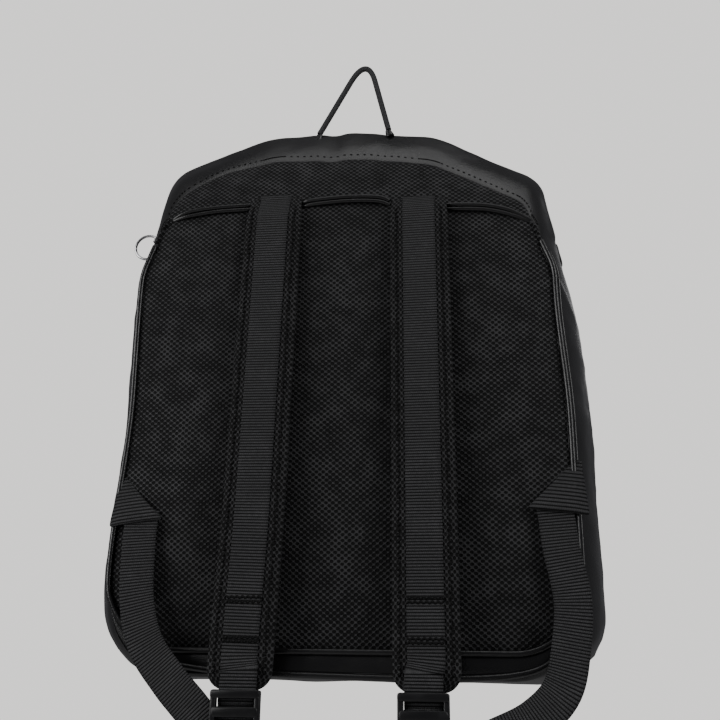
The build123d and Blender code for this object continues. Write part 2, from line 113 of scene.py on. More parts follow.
class DaypackSettings(bpy.types.PropertyGroup):
    """Sizes and colours of the daypack's finishes and soft pieces."""

    cord_diameter: size(
        "Cord diameter", "Thickness of the hang cord", 0.0048, 0.002, 0.01)
    webbing_width: size(
        "Webbing width", "Width of the straps' webbing", 0.025, 0.01, 0.05)
    webbing_thickness: size(
        "Webbing thickness", "Thickness of the webbing", 0.0014, 0.0005, 0.003)
    strap_width: size(
        "Strap width", "Width of the padded shoulder straps", 0.045, 0.03, 0.08)
    piping_diameter: size(
        "Piping diameter", "Thickness of the leather piping", 0.0046, 0.002, 0.008)
    rib_pitch: size(
        "Rib pitch", "Distance between the webbing's ribs", 0.0021, 0.001, 0.005)
    hole_pitch: size(
        "Hole pitch", "Distance between the holes of the air mesh", 0.0050, 0.002, 0.01)
    tooth_pitch: size(
        "Tooth pitch", "Distance between the zip's teeth", 0.0022, 0.001, 0.004)
    back_crown: size(
        "Back crown", "How far the mesh back swells at its middle", 0.0032, 0, 0.01)
    leather_colour: tint(
        "Leather colour", "Colour of the coated leather", (0.0050, 0.0049, 0.0052))
    mesh_colour: tint(
        "Mesh colour", "Colour of the knitted mesh", (0.0420, 0.0420, 0.0440))
    webbing_colour: tint(
        "Webbing colour", "Colour of the woven webbing", (0.0500, 0.0500, 0.0520))
    plastic_colour: tint(
        "Plastic colour", "Colour of the ladder locks", (0.0060, 0.0060, 0.0066))
    metal_colour: tint(
        "Metal colour", "Colour of the zip's pull and ring", (0.62, 0.62, 0.63))
    wrinkle_depth: size(
        "Wrinkle depth", "Depth of the soft folds in the leather", 0.0018, 0, 0.01)
    lens: FloatProperty(
        name="Lens", description="Focal length of the camera",
        default=45, min=20, max=120, unit="CAMERA")
    smoothing: IntProperty(
        name="Smoothing", description="Subdivision levels on the soft pieces",
        default=1, min=0, max=2)


def settings():
    """The scene's own copy of the settings."""
    return bpy.context.scene.daypack


# ---- Materials ----


class Tree:
    """Adds nodes to one node tree and joins them."""

    def __init__(self, tree):
        self.tree = tree

    def add(self, kind, settings=(), **inputs):
        node = self.tree.nodes.new(kind)
        for name, value in dict(settings).items():
            setattr(node, name, value)
        for name, value in inputs.items():
            self.feed(node, name.replace("_", " "), value)
        return node

    def feed(self, node, name, value):
        numbered = name[0] == "i" and name[1:].isdigit()
        socket = node.inputs[int(name[1:])] if numbered else node.inputs[name]
        if isinstance(value, bpy.types.NodeSocket):
            self.tree.links.new(value, socket)
        else:
            socket.default_value = value

    def math(self, operation, *values):
        node = self.tree.nodes.new("ShaderNodeMath")
        node.operation = operation
        for index, value in enumerate(values):
            self.feed(node, f"i{index}", value)
        return node.outputs[0]

    def vector(self, operation, *values):
        node = self.tree.nodes.new("ShaderNodeVectorMath")
        node.operation = operation
        for index, value in enumerate(values):
            self.feed(node, f"i{index}", value)
        return node.outputs["Value"] if operation == "LENGTH" else node.outputs[0]

    def spread(self, value, low, high, to_low=0.0, to_high=1.0):
        node = self.tree.nodes.new("ShaderNodeMapRange")
        node.interpolation_type = "SMOOTHSTEP"
        for name, number in (("Value", value), ("From Min", low), ("From Max", high),
                             ("To Min", to_low), ("To Max", to_high)):
            self.feed(node, name, number)
        return node.outputs[0]

    def mix(self, share, first, second):
        node = self.tree.nodes.new("ShaderNodeMix")
        node.data_type = "RGBA"
        self.feed(node, "i0", share)
        self.feed(node, "i6", first)
        self.feed(node, "i7", second)
        return node.outputs[2]


def effect(name, inputs, outputs, make):
    """A shader node group, made once and then reused."""
    group = bpy.data.node_groups.get(name)
    if group:
        return group
    group = bpy.data.node_groups.new(name, "ShaderNodeTree")
    for label, kind, value in inputs:
        socket = group.interface.new_socket(label, in_out="INPUT", socket_type=kind)
        if value is not None:
            socket.default_value = value
    for label in outputs:
        group.interface.new_socket(label, in_out="OUTPUT", socket_type="NodeSocketFloat")
    tree = Tree(group)
    start = group.nodes.new("NodeGroupInput")
    end = group.nodes.new("NodeGroupOutput")
    for label, socket in make(tree, start.outputs).items():
        group.links.new(socket, end.inputs[label])
    return group


def leather_grain():
    """Pebbled grain with soft creases."""

    def make(t, given):
        place = given["Vector"]
        pebble = t.add("ShaderNodeTexVoronoi", {"feature": "F1"}, Vector=place,
                       Scale=given["Grain Scale"])
        fine = t.add("ShaderNodeTexNoise", Vector=place, Scale=given["Grain Scale"], Detail=1.0)
        crease = t.add("ShaderNodeTexNoise", Vector=place, Scale=given["Crease Scale"],
                       Detail=2.0, Distortion=0.5)
        fold = t.math("ABSOLUTE", t.math("SUBTRACT", crease.outputs[0], 0.5))
        fold = t.spread(fold, 0.0, 0.12)
        grain = t.math("ADD", t.math("MULTIPLY", pebble.outputs["Distance"], 0.6),
                      t.math("MULTIPLY", fine.outputs[0], 0.5))
        height = t.math("ADD", t.math("MULTIPLY", grain, given["Grain Depth"]),
                       t.math("MULTIPLY", fold, given["Crease Depth"]))
        smudge = t.add("ShaderNodeTexNoise", Vector=place, Scale=11.0, Detail=5.0)
        return {"Height": height, "Smudge": t.spread(smudge.outputs[0], 0.35, 0.7)}

    return effect(
        "Leather Grain",
        (("Vector", "NodeSocketVector", None), ("Grain Scale", "NodeSocketFloat", 900.0),
         ("Crease Scale", "NodeSocketFloat", 26.0), ("Grain Depth", "NodeSocketFloat", 0.3),
         ("Crease Depth", "NodeSocketFloat", 0.5)),
        ("Height", "Smudge"), make)


def open_mesh():
    """Holes in staggered rows, in knitted yarn."""

    def make(t, given):
        flat = t.vector("MULTIPLY", given["Vector"], given["Axes"])
        cell = t.vector("DIVIDE", flat, given["Pitch"])
        half = (0.5, 0.5, 0.5)
        drop = t.vector("MULTIPLY", given["Axes"], half)
        near = t.vector("LENGTH", t.vector("SUBTRACT", t.vector("FRACTION", cell), drop))
        moved = t.vector("ADD", cell, drop)
        other = t.vector("LENGTH", t.vector("SUBTRACT", t.vector("FRACTION", moved), drop))
        reach = t.math("MINIMUM", near, other)
        patchy = t.add("ShaderNodeTexNoise", Vector=given["Vector"], Scale=70.0, Detail=2.0)
        size = t.math("MULTIPLY_ADD", patchy.outputs[0], 0.22, 0.18)
        hole = t.spread(t.math("SUBTRACT", reach, size), -0.07, 0.08, 1.0, 0.0)
        yarn = t.add("ShaderNodeTexNoise", Vector=given["Vector"], Scale=1500.0, Detail=2.0)
        height = t.math("ADD", t.math("SUBTRACT", 1.0, hole),
                        t.math("MULTIPLY", yarn.outputs[0], 0.25))
        return {"Hole": hole, "Height": height}

    return effect(
        "Open Mesh",
        (("Vector", "NodeSocketVector", None), ("Axes", "NodeSocketVector", (1.0, 0.0, 1.0)),
         ("Pitch", "NodeSocketVector", (0.0058, 1.0, 0.0048))),
        ("Hole", "Height"), make)


def woven_ribs():
    """Ribs across a woven band, with painted shade in the valleys between them."""

    def make(t, given):
        split = t.add("ShaderNodeSeparateXYZ", Vector=given["Vector"])
        across, along = split.outputs[0], split.outputs[1]
        phase = t.math("MULTIPLY", t.math("DIVIDE", along, given["Pitch"]), pi)
        rib = t.math("ABSOLUTE", t.math("SINE", phase))
        row = t.math("FLOOR", t.math("DIVIDE", along, given["Pitch"]))
        column = t.math("MULTIPLY_ADD", row, 0.5, t.math("DIVIDE", across, given["Yarn"]))
        yarn = t.math("ABSOLUTE", t.math("SINE", t.math("MULTIPLY", column, pi)))
        height = t.math("MULTIPLY", t.math("POWER", rib, 0.7),
                        t.math("MULTIPLY_ADD", yarn, 0.3, 0.7))
        fuzz = t.add("ShaderNodeTexNoise", Vector=given["Vector"], Scale=420.0, Detail=3.0)
        dusty = t.math("MULTIPLY_ADD", fuzz.outputs[0], 0.7, 0.55)
        # Painted shade: this colour mask is dark in the valleys between the ribs and light on their
        # tops, flecked by the yarn's real fuzz.
        return {"Height": height, "Shade": t.math("MULTIPLY", t.spread(height, 0.3, 0.9), dusty)}

    return effect(
        "Woven Ribs",
        (("Vector", "NodeSocketVector", None), ("Pitch", "NodeSocketFloat", 0.0021),
         ("Yarn", "NodeSocketFloat", 0.0014)),
        ("Height", "Shade"), make)


def wear():
    """Broad patches where a surface is rubbed."""

    def make(t, given):
        broad = t.add("ShaderNodeTexNoise", Vector=given["Vector"], Scale=given["Scale"],
                      Detail=6.0, Roughness=0.65)
        patches = t.spread(broad.outputs[0], 0.45, 0.75)
        return {"Wear": t.math("MULTIPLY", patches, given["Amount"])}

    return effect(
        "Soft Wear",
        (("Vector", "NodeSocketVector", None), ("Scale", "NodeSocketFloat", 18.0),
         ("Amount", "NodeSocketFloat", 0.4)),
        ("Wear",), make)


def place_group(t, group, **inputs):
    """Puts a node group in a tree and gives its outputs."""
    node = t.add("ShaderNodeGroup", {"node_tree": group})
    for name, value in inputs.items():
        t.feed(node, name.replace("_", " "), value)
    return node.outputs


def shade(colour, factor):
    """A colour made lighter or darker."""
    return (*(min(1.0, c * factor) for c in colour), 1.0)


def finish(name, make, coordinates="Object", **fixed):
    """A material with one Principled shader; fixed values sit on the shader's own sockets."""
    made = bpy.data.materials.get(name)
    if made:
        return made
    made = bpy.data.materials.new(name)
    made.use_nodes = True
    tree = made.node_tree
    shader = tree.nodes["Principled BSDF"]
    for label, value in fixed.items():
        shader.inputs[label.replace("_", " ")].default_value = value
    t = Tree(tree)
    make(t, shader, t.add("ShaderNodeTexCoord").outputs[coordinates])
    return made


def worn_colour(t, place, colour, scale, amount, low, high):
    """A colour that turns to another shade of itself in rubbed patches, and the patches."""
    worn = place_group(t, wear(), Vector=place, Scale=scale, Amount=amount)["Wear"]
    return t.mix(worn, shade(colour, low), shade(colour, high)), worn


def bump(t, shader, height, strength, distance):
    """Height turned into relief on the shader's normal."""
    node = t.add("ShaderNodeBump", Strength=strength, Distance=distance, Height=height)
    t.feed(shader, "Normal", node.outputs[0])


def leather(name="Coated leather", tone=1.0, rough=0.24, crease=0.16, crease_scale=17.0,
            depth=0.0009):
    """Black coated leather, softly creased."""

    def make(t, shader, place):
        grain = place_group(t, leather_grain(), Vector=place,
                            Crease_Depth=crease, Crease_Scale=crease_scale)
        colour = settings().leather_colour
        worn, _ = worn_colour(t, place, colour, 14.0, 0.55, tone, tone * 1.7)
        t.feed(shader, "Base Color", worn)
        t.feed(shader, "Roughness", t.math("MULTIPLY_ADD", grain["Smudge"], 0.13, rough))
        bump(t, shader, grain["Height"], 0.55, depth)

    return finish(name, make, Specular_IOR_Level=0.5, Coat_Weight=0.10, Coat_Roughness=0.18)


def knitted(name, pitch, axes, coordinates, tone=1.0, depth=0.0016):
    """Knitted mesh with rows of holes, painted near-black as painted shade in their depths."""

    def make(t, shader, place):
        holes = place_group(t, open_mesh(), Vector=place, Axes=axes, Pitch=pitch)
        colour = settings().mesh_colour
        threads, _ = worn_colour(t, place, colour, 9.0, 0.5, tone, tone * 1.7)
        # The holes are real; their near-black colour is painted shade in the hollows behind the yarn.
        t.feed(shader, "Base Color", t.mix(holes["Hole"], threads, shade(colour, 0.03)))
        t.feed(shader, "Roughness", t.math("MULTIPLY_ADD", holes["Hole"], 0.25, 0.62))
        bump(t, shader, holes["Height"], 1.0, depth)

    return finish(name, make, coordinates, Specular_IOR_Level=0.3)


def air_mesh():
    """The back's mesh."""
    pitch = settings().hole_pitch
    return knitted("Air mesh", (pitch, 1.0, pitch * 0.82), (1.0, 0.0, 1.0), "Object")


def strap_mesh():
    """The straps' finer mesh, which follows each strap."""
    pitch = settings().hole_pitch * 0.72
    return knitted("Strap mesh", (pitch, pitch * 1.25, 1.0), (1.0, 1.0, 0.0), "UV",
                   tone=0.9, depth=0.0012)


def webbing_finish():
    """Woven webbing with ribs across it, their valleys darkened with painted shade."""

    def make(t, shader, place):
        ribs = place_group(t, woven_ribs(), Vector=place, Pitch=settings().rib_pitch)
        colour = settings().webbing_colour
        yarn, _ = worn_colour(t, place, colour, 30.0, 0.5, 1.0, 1.8)
        # Base colour: near-black in the rib valleys as painted shade, the yarn's worn colour on the
        # rib tops.
        t.feed(shader, "Base Color", t.mix(ribs["Shade"], shade(colour, 0.03), yarn))
        t.feed(shader, "Roughness", t.math("MULTIPLY_ADD", ribs["Shade"], -0.12, 0.68))
        bump(t, shader, ribs["Height"], 0.8, 0.0009)

    return finish("Ribbed webbing", make, "UV", Specular_IOR_Level=0.22)


def woven_cloth(name, colour, scale, rough=0.8):
    """Plain woven cloth."""

    def make(t, shader, place):
        split = t.add("ShaderNodeSeparateXYZ", Vector=place)
        slant = t.math("ADD", split.outputs[0], split.outputs[1])
        warp = t.math("SINE", t.math("MULTIPLY", slant, scale * 2 * pi))
        weft = t.math("SINE", t.math("MULTIPLY", split.outputs[2], scale * 2 * pi))
        weave = t.math("MULTIPLY", warp, weft)
        base, _ = worn_colour(t, place, colour, 22.0, 0.5, 1.0, 1.6)
        shown = t.mix(t.spread(weave, -1.0, 1.0), shade(colour, 0.45), base)
        t.feed(shader, "Base Color", shown)
        t.feed(shader, "Roughness", t.math("MULTIPLY_ADD", weave, 0.05, rough))
        bump(t, shader, weave, 0.5, 0.0004)

    return finish(name, make, Specular_IOR_Level=0.2)


def braided_cord():
    """Thin cord, braided slantwise."""

    def make(t, shader, place):
        split = t.add("ShaderNodeSeparateXYZ", Vector=place)
        strands = []
        for operation in ("ADD", "SUBTRACT"):
            slant = t.math(operation, split.outputs[2], split.outputs[0])
            strands.append(t.math("SINE", t.math("MULTIPLY", slant, 4200.0)))
        plait = t.math("MULTIPLY", *strands)
        colour = settings().mesh_colour
        shown = t.mix(t.spread(plait, -1.0, 1.0), shade(colour, 0.5), shade(colour, 1.7))
        t.feed(shader, "Base Color", shown)
        t.feed(shader, "Roughness", t.math("MULTIPLY_ADD", plait, -0.08, 0.66))
        bump(t, shader, plait, 0.6, 0.0005)

    return finish("Braided cord", make, Specular_IOR_Level=0.25)


def moulded_plastic():
    """Moulded plastic with rubbed patches."""

    def make(t, shader, place):
        speck = t.add("ShaderNodeTexNoise", Vector=place, Scale=2600.0, Detail=2.0)
        shown, worn = worn_colour(t, place, settings().plastic_colour, 60.0, 0.6, 1.0, 2.4)
        t.feed(shader, "Base Color", shown)
        t.feed(shader, "Roughness", t.math("MULTIPLY_ADD", worn, 0.2, 0.3))
        bump(t, shader, speck.outputs[0], 0.25, 0.00012)

    return finish("Moulded plastic", make, Specular_IOR_Level=0.5)


def plated(name, colour, rough):
    """Plated metal with fine scratches."""

    def make(t, shader, place):
        shown, _ = worn_colour(t, place, colour, 140.0, 0.7, 1.0, 0.55)
        scratch = t.add("ShaderNodeTexNoise", Vector=place, Scale=900.0, Detail=4.0, Distortion=2.0)
        t.feed(shader, "Base Color", shown)
        t.feed(shader, "Roughness", t.math("MULTIPLY_ADD", scratch.outputs[0], 0.16, rough))
        bump(t, shader, scratch.outputs[0], 0.12, 0.0001)

    return finish(name, make, Metallic=1.0)


def pale_floor():
    """A pale floor that glows to the camera alone, so that it casts no light on the bag."""

    def make(t, shader, place):
        cloudy = t.add("ShaderNodeTexNoise", Vector=place, Scale=2.0, Detail=4.0)
        pale = t.mix(cloudy.outputs[0], (0.66, 0.655, 0.65, 1), (0.72, 0.715, 0.71, 1))
        t.feed(shader, "Base Color", pale)
        t.feed(shader, "Emission Color", pale)
        seen = t.add("ShaderNodeLightPath").outputs["Is Camera Ray"]
        t.feed(shader, "Emission Strength", t.math("MULTIPLY", seen, 0.9))

    return finish("Pale floor", make, Roughness=0.85)


# ---- The bag's shape ----

ARC_STEPS = 8
SIDE_STEPS = (20, 10, 8, 12, 8, 10, 20, 20)
STEPS = ARC_STEPS * 8 + sum(SIDE_STEPS)
TOP_STEP = 75.5  # the middle of the top edge
LOW_STEP = TOP_STEP + STEPS / 2


def rounded_loop(corners, radii):
    """Points round a polygon with rounded corners, the same number on matching runs of each loop."""
    points, ends, count = [], [], len(corners)
    for index, (x, z) in enumerate(corners):
        here = Vector((x, z))
        before = (Vector(corners[index - 1]) - here).normalized()
        after = (Vector(corners[(index + 1) % count]) - here).normalized()
        half_angle = before.angle(after) / 2
        radius = radii[index]
        reach = radius / sin(half_angle) * cos(half_angle)
        centre = here + (before + after).normalized() * radius / sin(half_angle)
        first, last = here + before * reach, here + after * reach
        arc = []
        for step in range(ARC_STEPS):
            share = step / (ARC_STEPS - 1)
            ray = ((first - centre) * (1 - share) + (last - centre) * share).normalized()
            arc.append(centre + ray * radius)
        ends.append(arc)
    for index in range(count):
        points += ends[index]
        start, stop = ends[index][-1], ends[(index + 1) % count][0]
        steps = SIDE_STEPS[index]
        points += [start.lerp(stop, (step + 1) / (steps + 1)) for step in range(steps)]
    return points


def outline(half, low, knee, shoulder_half, shoulder, top_half, top, radii):
    """A symmetrical outline of the bag: half widths and heights from its bottom to its top."""
    right = [(half, low), (half, knee), (shoulder_half, shoulder), (top_half, top)]
    left = [(-x, z) for x, z in reversed(right)]
    return rounded_loop(right + left, list(radii) + list(reversed(radii)))


BACK_KNEE = CROSS_SEAM - 56
LOOPS = (
    (BACK_FACE, outline(163, -504, BACK_KNEE, 146, YOKE_CORNER, 60, CROSS_SEAM, (45, 60, 20, 60))),
    (2, outline(180, -506, -230, 158, -104, 70, -62, (48, 60, 28, 60))),
    (45, outline(185, -506, -230, 160, -104, 70, -62, (50, 60, 38, 60))),
    (FRONT_FACE, outline(160, -494, -230, 145, -126, 80, -112, (45, 60, 20, 60))),
)
BACK_LOOP = outline(163, BAND, BACK_KNEE, 146, YOKE_CORNER, 60, CROSS_SEAM, (45, 60, 20, 60))


def on_loop(loop, step):
    """A point on an outline, between two of its steps."""
    low = int(step // 1)
    return loop[low % STEPS].lerp(loop[(low + 1) % STEPS], step - low)


def outward(loop, step):
    """The outline's own outward direction."""
    run = on_loop(loop, step + 0.9) - on_loop(loop, step - 0.9)
    return Vector((run.y, -run.x)).normalized()


def sag(x, z):
    """How the filled bag settles: the right shoulder hangs lower and both lower sides swell."""
    high = ease(z, -330, -120)
    crest = ease(z, -160, -100)
    drop = -13 * high * ease(x, -40, 150) + 9 * crest * ease(-x, 50, 145)
    drop += crest * (1.6 * (1 - ease(abs(x - 8), 8, 24)) - 1.6 * (1 - ease(abs(x + 17), 3, 10)))
    side = (1 if x > 0 else -1) * ease(abs(x), 60, 165)
    swell = 0
    if x < 0:
        swell = 6 * ease(z, -500, -430) * (1 - ease(z, -430, -300))
    if x > 0:
        lean = 0.5 - 5 * ease(z, -330, -220)
    else:
        lean = 2 * ease(z, -330, -220) * (1 - ease(z, -150, -90))
    return Vector((side * (swell + lean), 0, drop))


def settled(flat):
    """Where a place on a flat outline comes to lie as the bag settles: its x and z."""
    moved = sag(flat.x, flat.y)
    return flat.x + moved.x, flat.y + moved.z


def ripple(x, y, z):
    """Soft folds in leather: broad swells with finer ones on them, from -1 to 1."""
    broad = noise.noise(Vector((x, y, z)) / 46 + Vector((3.1, 0.4, 8.7)))
    fine = noise.noise(Vector((x, y, z * 1.7)) / 17 + Vector((9.2, 5.5, 1.3)))
    return 0.75 * broad + 0.3 * fine


def shell(step, y, out=0.0, soft=1.0):
    """A point of the bag's skin at one depth, moved outward by out millimetres."""
    index = 0
    while index < len(LOOPS) - 2 and y > LOOPS[index + 1][0]:
        index += 1
    (y0, loop0), (y1, loop1) = LOOPS[index], LOOPS[index + 1]
    share = (y - y0) / (y1 - y0)
    first, last = on_loop(loop0, step), on_loop(loop1, step)

    def slope(k):
        if k == 0 or k == len(LOOPS) - 1:
            return (last - first) / (y1 - y0) * (1.5 if k == 0 else 1.3)
        (ya, a), (yb, b) = LOOPS[k - 1], LOOPS[k + 1]
        return (on_loop(b, step) - on_loop(a, step)) / (yb - ya)

    span = y1 - y0
    s2, s3 = share * share, share ** 3
    flat = (first * (2 * s3 - 3 * s2 + 1) + slope(index) * span * (s3 - 2 * s2 + share)
            + last * (3 * s2 - 2 * s3) + slope(index + 1) * span * (s3 - s2))
    normal = outward(loop0 if share < 0.5 else loop1, step)
    depth = out + soft * settings().wrinkle_depth / MM * ripple(flat.x, y, flat.y)
    x, z = settled(flat + normal * depth)
    return at(x, y, z)


def step_at(height, side):
    """Where the outline passes one height, on the right (1) or the left (-1), at the zip."""
    low, high = 4.0, TOP_STEP
    for _ in range(40):
        middle = (low + high) / 2
        flat = on_loop(LOOPS[1][1], middle)
        low, high = (middle, high) if flat.y < height else (low, middle)
    return low if side > 0 else 2 * TOP_STEP - low


# ---- Making pieces ----


def settle_normals(bm, inside=None):
    """Points every face outwards; an open sheet turns its face away from the place called inside."""
    bmesh.ops.recalc_face_normals(bm, faces=bm.faces)
    if inside is not None:
        facing = sum((f.normal.dot(f.calc_center_median() - inside)) * f.calc_area() for f in bm.faces)
        if facing < 0:
            bmesh.ops.reverse_faces(bm, faces=bm.faces)


def keep_piece(bm, name, material, body=None, replaced=(), levels=None, thickness=0.0,
               blend=None):
    """Turns a bmesh into a finished piece: material, smoothing, body and what it stands for."""
    mesh = bpy.data.meshes.new(name)
    bm.to_mesh(mesh)
    bm.free()
    for polygon in mesh.polygons:
        polygon.use_smooth = True
    piece = bpy.data.objects.new(name, mesh)
    bpy.context.collection.objects.link(piece)
    mesh.materials.append(material)
    if thickness:
        wall = piece.modifiers.new("Thickness", "SOLIDIFY")
        wall.thickness = thickness
        wall.offset = -1
    levels = settings().smoothing if levels is None else levels
    if levels:
        soften = piece.modifiers.new("Soften", "SUBSURF")
        soften.levels = soften.render_levels = levels
    if blend:
        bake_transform(piece)
    else:
        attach(piece, body)
    if replaced:
        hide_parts(*replaced)
    return piece


def grid(columns, rows, place, uv=None, wrap=False, keep=None, inside=None):
    """A bmesh sheet whose points lie where place(column, row) says, facing away from inside."""
    bm = bmesh.new()
    layer = bm.loops.layers.uv.new("UVMap")
    across, along = len(columns) - 1, len(rows) - 1
    bmesh.ops.create_grid(bm, x_segments=across, y_segments=along, size=0.5)
    keys = {v: (round((v.co.x + 0.5) * across), round((v.co.y + 0.5) * along)) for v in bm.verts}
    for face in bm.faces:
        for loop in face.loops:
            column, row = keys[loop.vert]
            spot = uv(columns[column], rows[row]) if uv else (column / across, row / along)
            loop[layer].uv = spot
    if keep:
        gone = [f for f in bm.faces if not keep(sum(columns[keys[v][0]] for v in f.verts) / 4,
                                                sum(rows[keys[v][1]] for v in f.verts) / 4)]
        bmesh.ops.delete(bm, geom=gone, context="FACES")
    for v, (column, row) in keys.items():
        if v.is_valid:
            v.co = place(columns[column], rows[row])
    bmesh.ops.remove_doubles(bm, verts=bm.verts, dist=2e-5 if wrap else 1e-6)
    if inside is not None:
        settle_normals(bm, inside)
    return bm


def spaced(low, high, count):
    """Numbers from low to high in even steps, both ends counted."""
    return [low + (high - low) * index / count for index in range(count + 1)]


def smooth_path(points, per_run=8):
    """Even points on a smooth line through the given ones, each a tuple of numbers."""
    path = []
    for index in range(len(points) - 1):
        a = points[max(index - 1, 0)]
        b, c = points[index], points[index + 1]
        d = points[min(index + 2, len(points) - 1)]
        for step in range(per_run):
            t = step / per_run
            path.append(tuple(
                0.5 * (2 * q + (r - p) * t + (2 * p - 5 * q + 4 * r - s) * t * t
                       + (3 * q - p - 3 * r + s) * t ** 3)
                for p, q, r, s in zip(a, b, c, d)))
    path.append(tuple(points[-1]))
    return path


def lengths_along(path):
    """How far along a path each of its points is."""
    lengths = [0.0]
    for a, b in zip(path, path[1:]):
        lengths.append(lengths[-1] + (b - a).length)
    return lengths


def squared(value, power):
    """A sine or cosine pushed outward, so that a circle becomes a rounded square."""
    return abs(value) ** power * (1 if value > 0 else -1)


def sweep(path, sides, section, scale=lambda share: (1.0, 1.0)):
    """A closed section carried along a path; sides gives each point's width direction."""
    count = len(section)
    lengths = lengths_along(path)
    frames = []
    for index, here in enumerate(path):
        run = path[min(index + 1, len(path) - 1)] - path[max(index - 1, 0)]
        run.normalize()
        side = sides[index] - run * sides[index].dot(run)
        side.normalize()
        frames.append((here, side, side.cross(run).normalized()))

    def place(column, row):
        here, side, face = frames[row]
        width, depth = section[column % count]
        wide, deep = scale(lengths[row] / lengths[-1])
        return here + side * width * wide + face * depth * deep

    bm = grid(range(count + 1), range(len(path)), place,
              uv=lambda c, r: (section[c % count][0], lengths[r]), wrap=True)
    open_edges = [e for e in bm.edges if e.is_boundary]
    bmesh.ops.holes_fill(bm, edges=open_edges, sides=0)
    settle_normals(bm)
    return bm


def level(path):
    """The same sideways direction for every point of a path."""
    return [Vector((1, 0, 0))] * len(path)


def round_section(radius, count=10):
    """A circle of points."""
    angles = [2 * pi * k / count for k in range(count)]
    return [(radius * cos(angle), radius * sin(angle)) for angle in angles]


def flat_section(width, thickness, per_side=8):
    """A band's section with softly rounded edges."""
    half, deep = width / 2, thickness / 2
    top = [(-half * 0.98 + half * 1.96 * k / per_side, deep) for k in range(per_side + 1)]
    low = [(x, -z) for x, z in reversed(top)]
    return top + [(half, 0.0)] + low + [(-half, 0.0)]


def tube(points, radius, per_run=6, count=10):
    """A round tube through points given in millimetres from the bag's middle."""
    path = [at(*p) for p in smooth_path(points, per_run)]
    sides = []
    side = Vector((0, 1, 0))
    for index in range(len(path)):
        run = (path[min(index + 1, len(path) - 1)] - path[max(index - 1, 0)]).normalized()
        if abs(run.dot(side)) > 0.95:
            side = Vector((1, 0, 0))
        side = (side - run * side.dot(run)).normalized()
        sides.append(side.copy())
    return sweep(path, sides, round_section(radius, count))


def joined(parts):
    """One bmesh holding several."""
    whole = bmesh.new()
    for part in parts:
        mesh = bpy.data.meshes.new("part")
        part.to_mesh(mesh)
        part.free()
        whole.from_mesh(mesh)
        bpy.data.meshes.remove(mesh)
    return whole


def stitches(places, half, radius):
    """Short plump stitches, each at a place and lying along its own run."""
    bm = bmesh.new()
    for here, run in places:
        turned = run.to_track_quat("X", "Z").to_matrix().to_4x4()
        sizes = Matrix.Diagonal((half * MM, radius * MM, radius * MM, 1))
        bmesh.ops.create_uvsphere(bm, u_segments=6, v_segments=4, radius=1,
                                  matrix=Matrix.Translation(here) @ turned @ sizes)
    bm.loops.layers.uv.new("UVMap")
    return bm


# ---- Leather ----

BAG_INSIDE = at(0, 45, -290)


def runs(*counts):
    """Rows 0 to 1, 1 to 2 and so on, each cut into its own number of steps."""
    rows = [0.0]
    for index, count in enumerate(counts):
        rows += spaced(index, index + 1, count)[1:]
    return rows


REAR_ROWS = runs(6, 9, 4)


def yoke_seam(step):
    """The depth where the yoke's mesh ends and the leather begins, back face to ridge."""
    x, z = on_loop(LOOPS[0][1], step)
    reach = abs(x) / 146
    if reach >= 1 or z < -165:
        return BACK_FACE + 0.6
    share = 0.45 + 0.10 * ease(-x, 30, 100) - 0.02 * ease(x, 20, 100)
    fade = sqrt(max(0.0, 1 - reach ** 3.2))
    return BACK_FACE + 0.6 + (TAPE_REAR - BACK_FACE - 4) * share * fade


def rear_depth(step, row):
    """Rows 0 to 1 cross the yoke, 1 to 2 the leather up to the zip, 2 to 3 the zip's own strip."""
    seam = yoke_seam(step)
    if row <= 1:
        return BACK_FACE + (seam - BACK_FACE) * row
    if row <= 2:
        return seam + (TAPE_REAR - seam) * (row - 1)
    return TAPE_REAR + (TAPE_FRONT - TAPE_REAR) * (row - 2)


def all_steps(*extra):
    """Half steps all the way round the bag, meeting the extra places exactly."""
    steps = sorted(set(spaced(LOW_STEP - STEPS, LOW_STEP, STEPS * 2)) | set(extra))
    kept = [steps[0]]
    for step in steps[1:]:
        if step - kept[-1] > 0.2:
            kept.append(step)
        elif step in extra:
            kept[-1] = step
    return kept


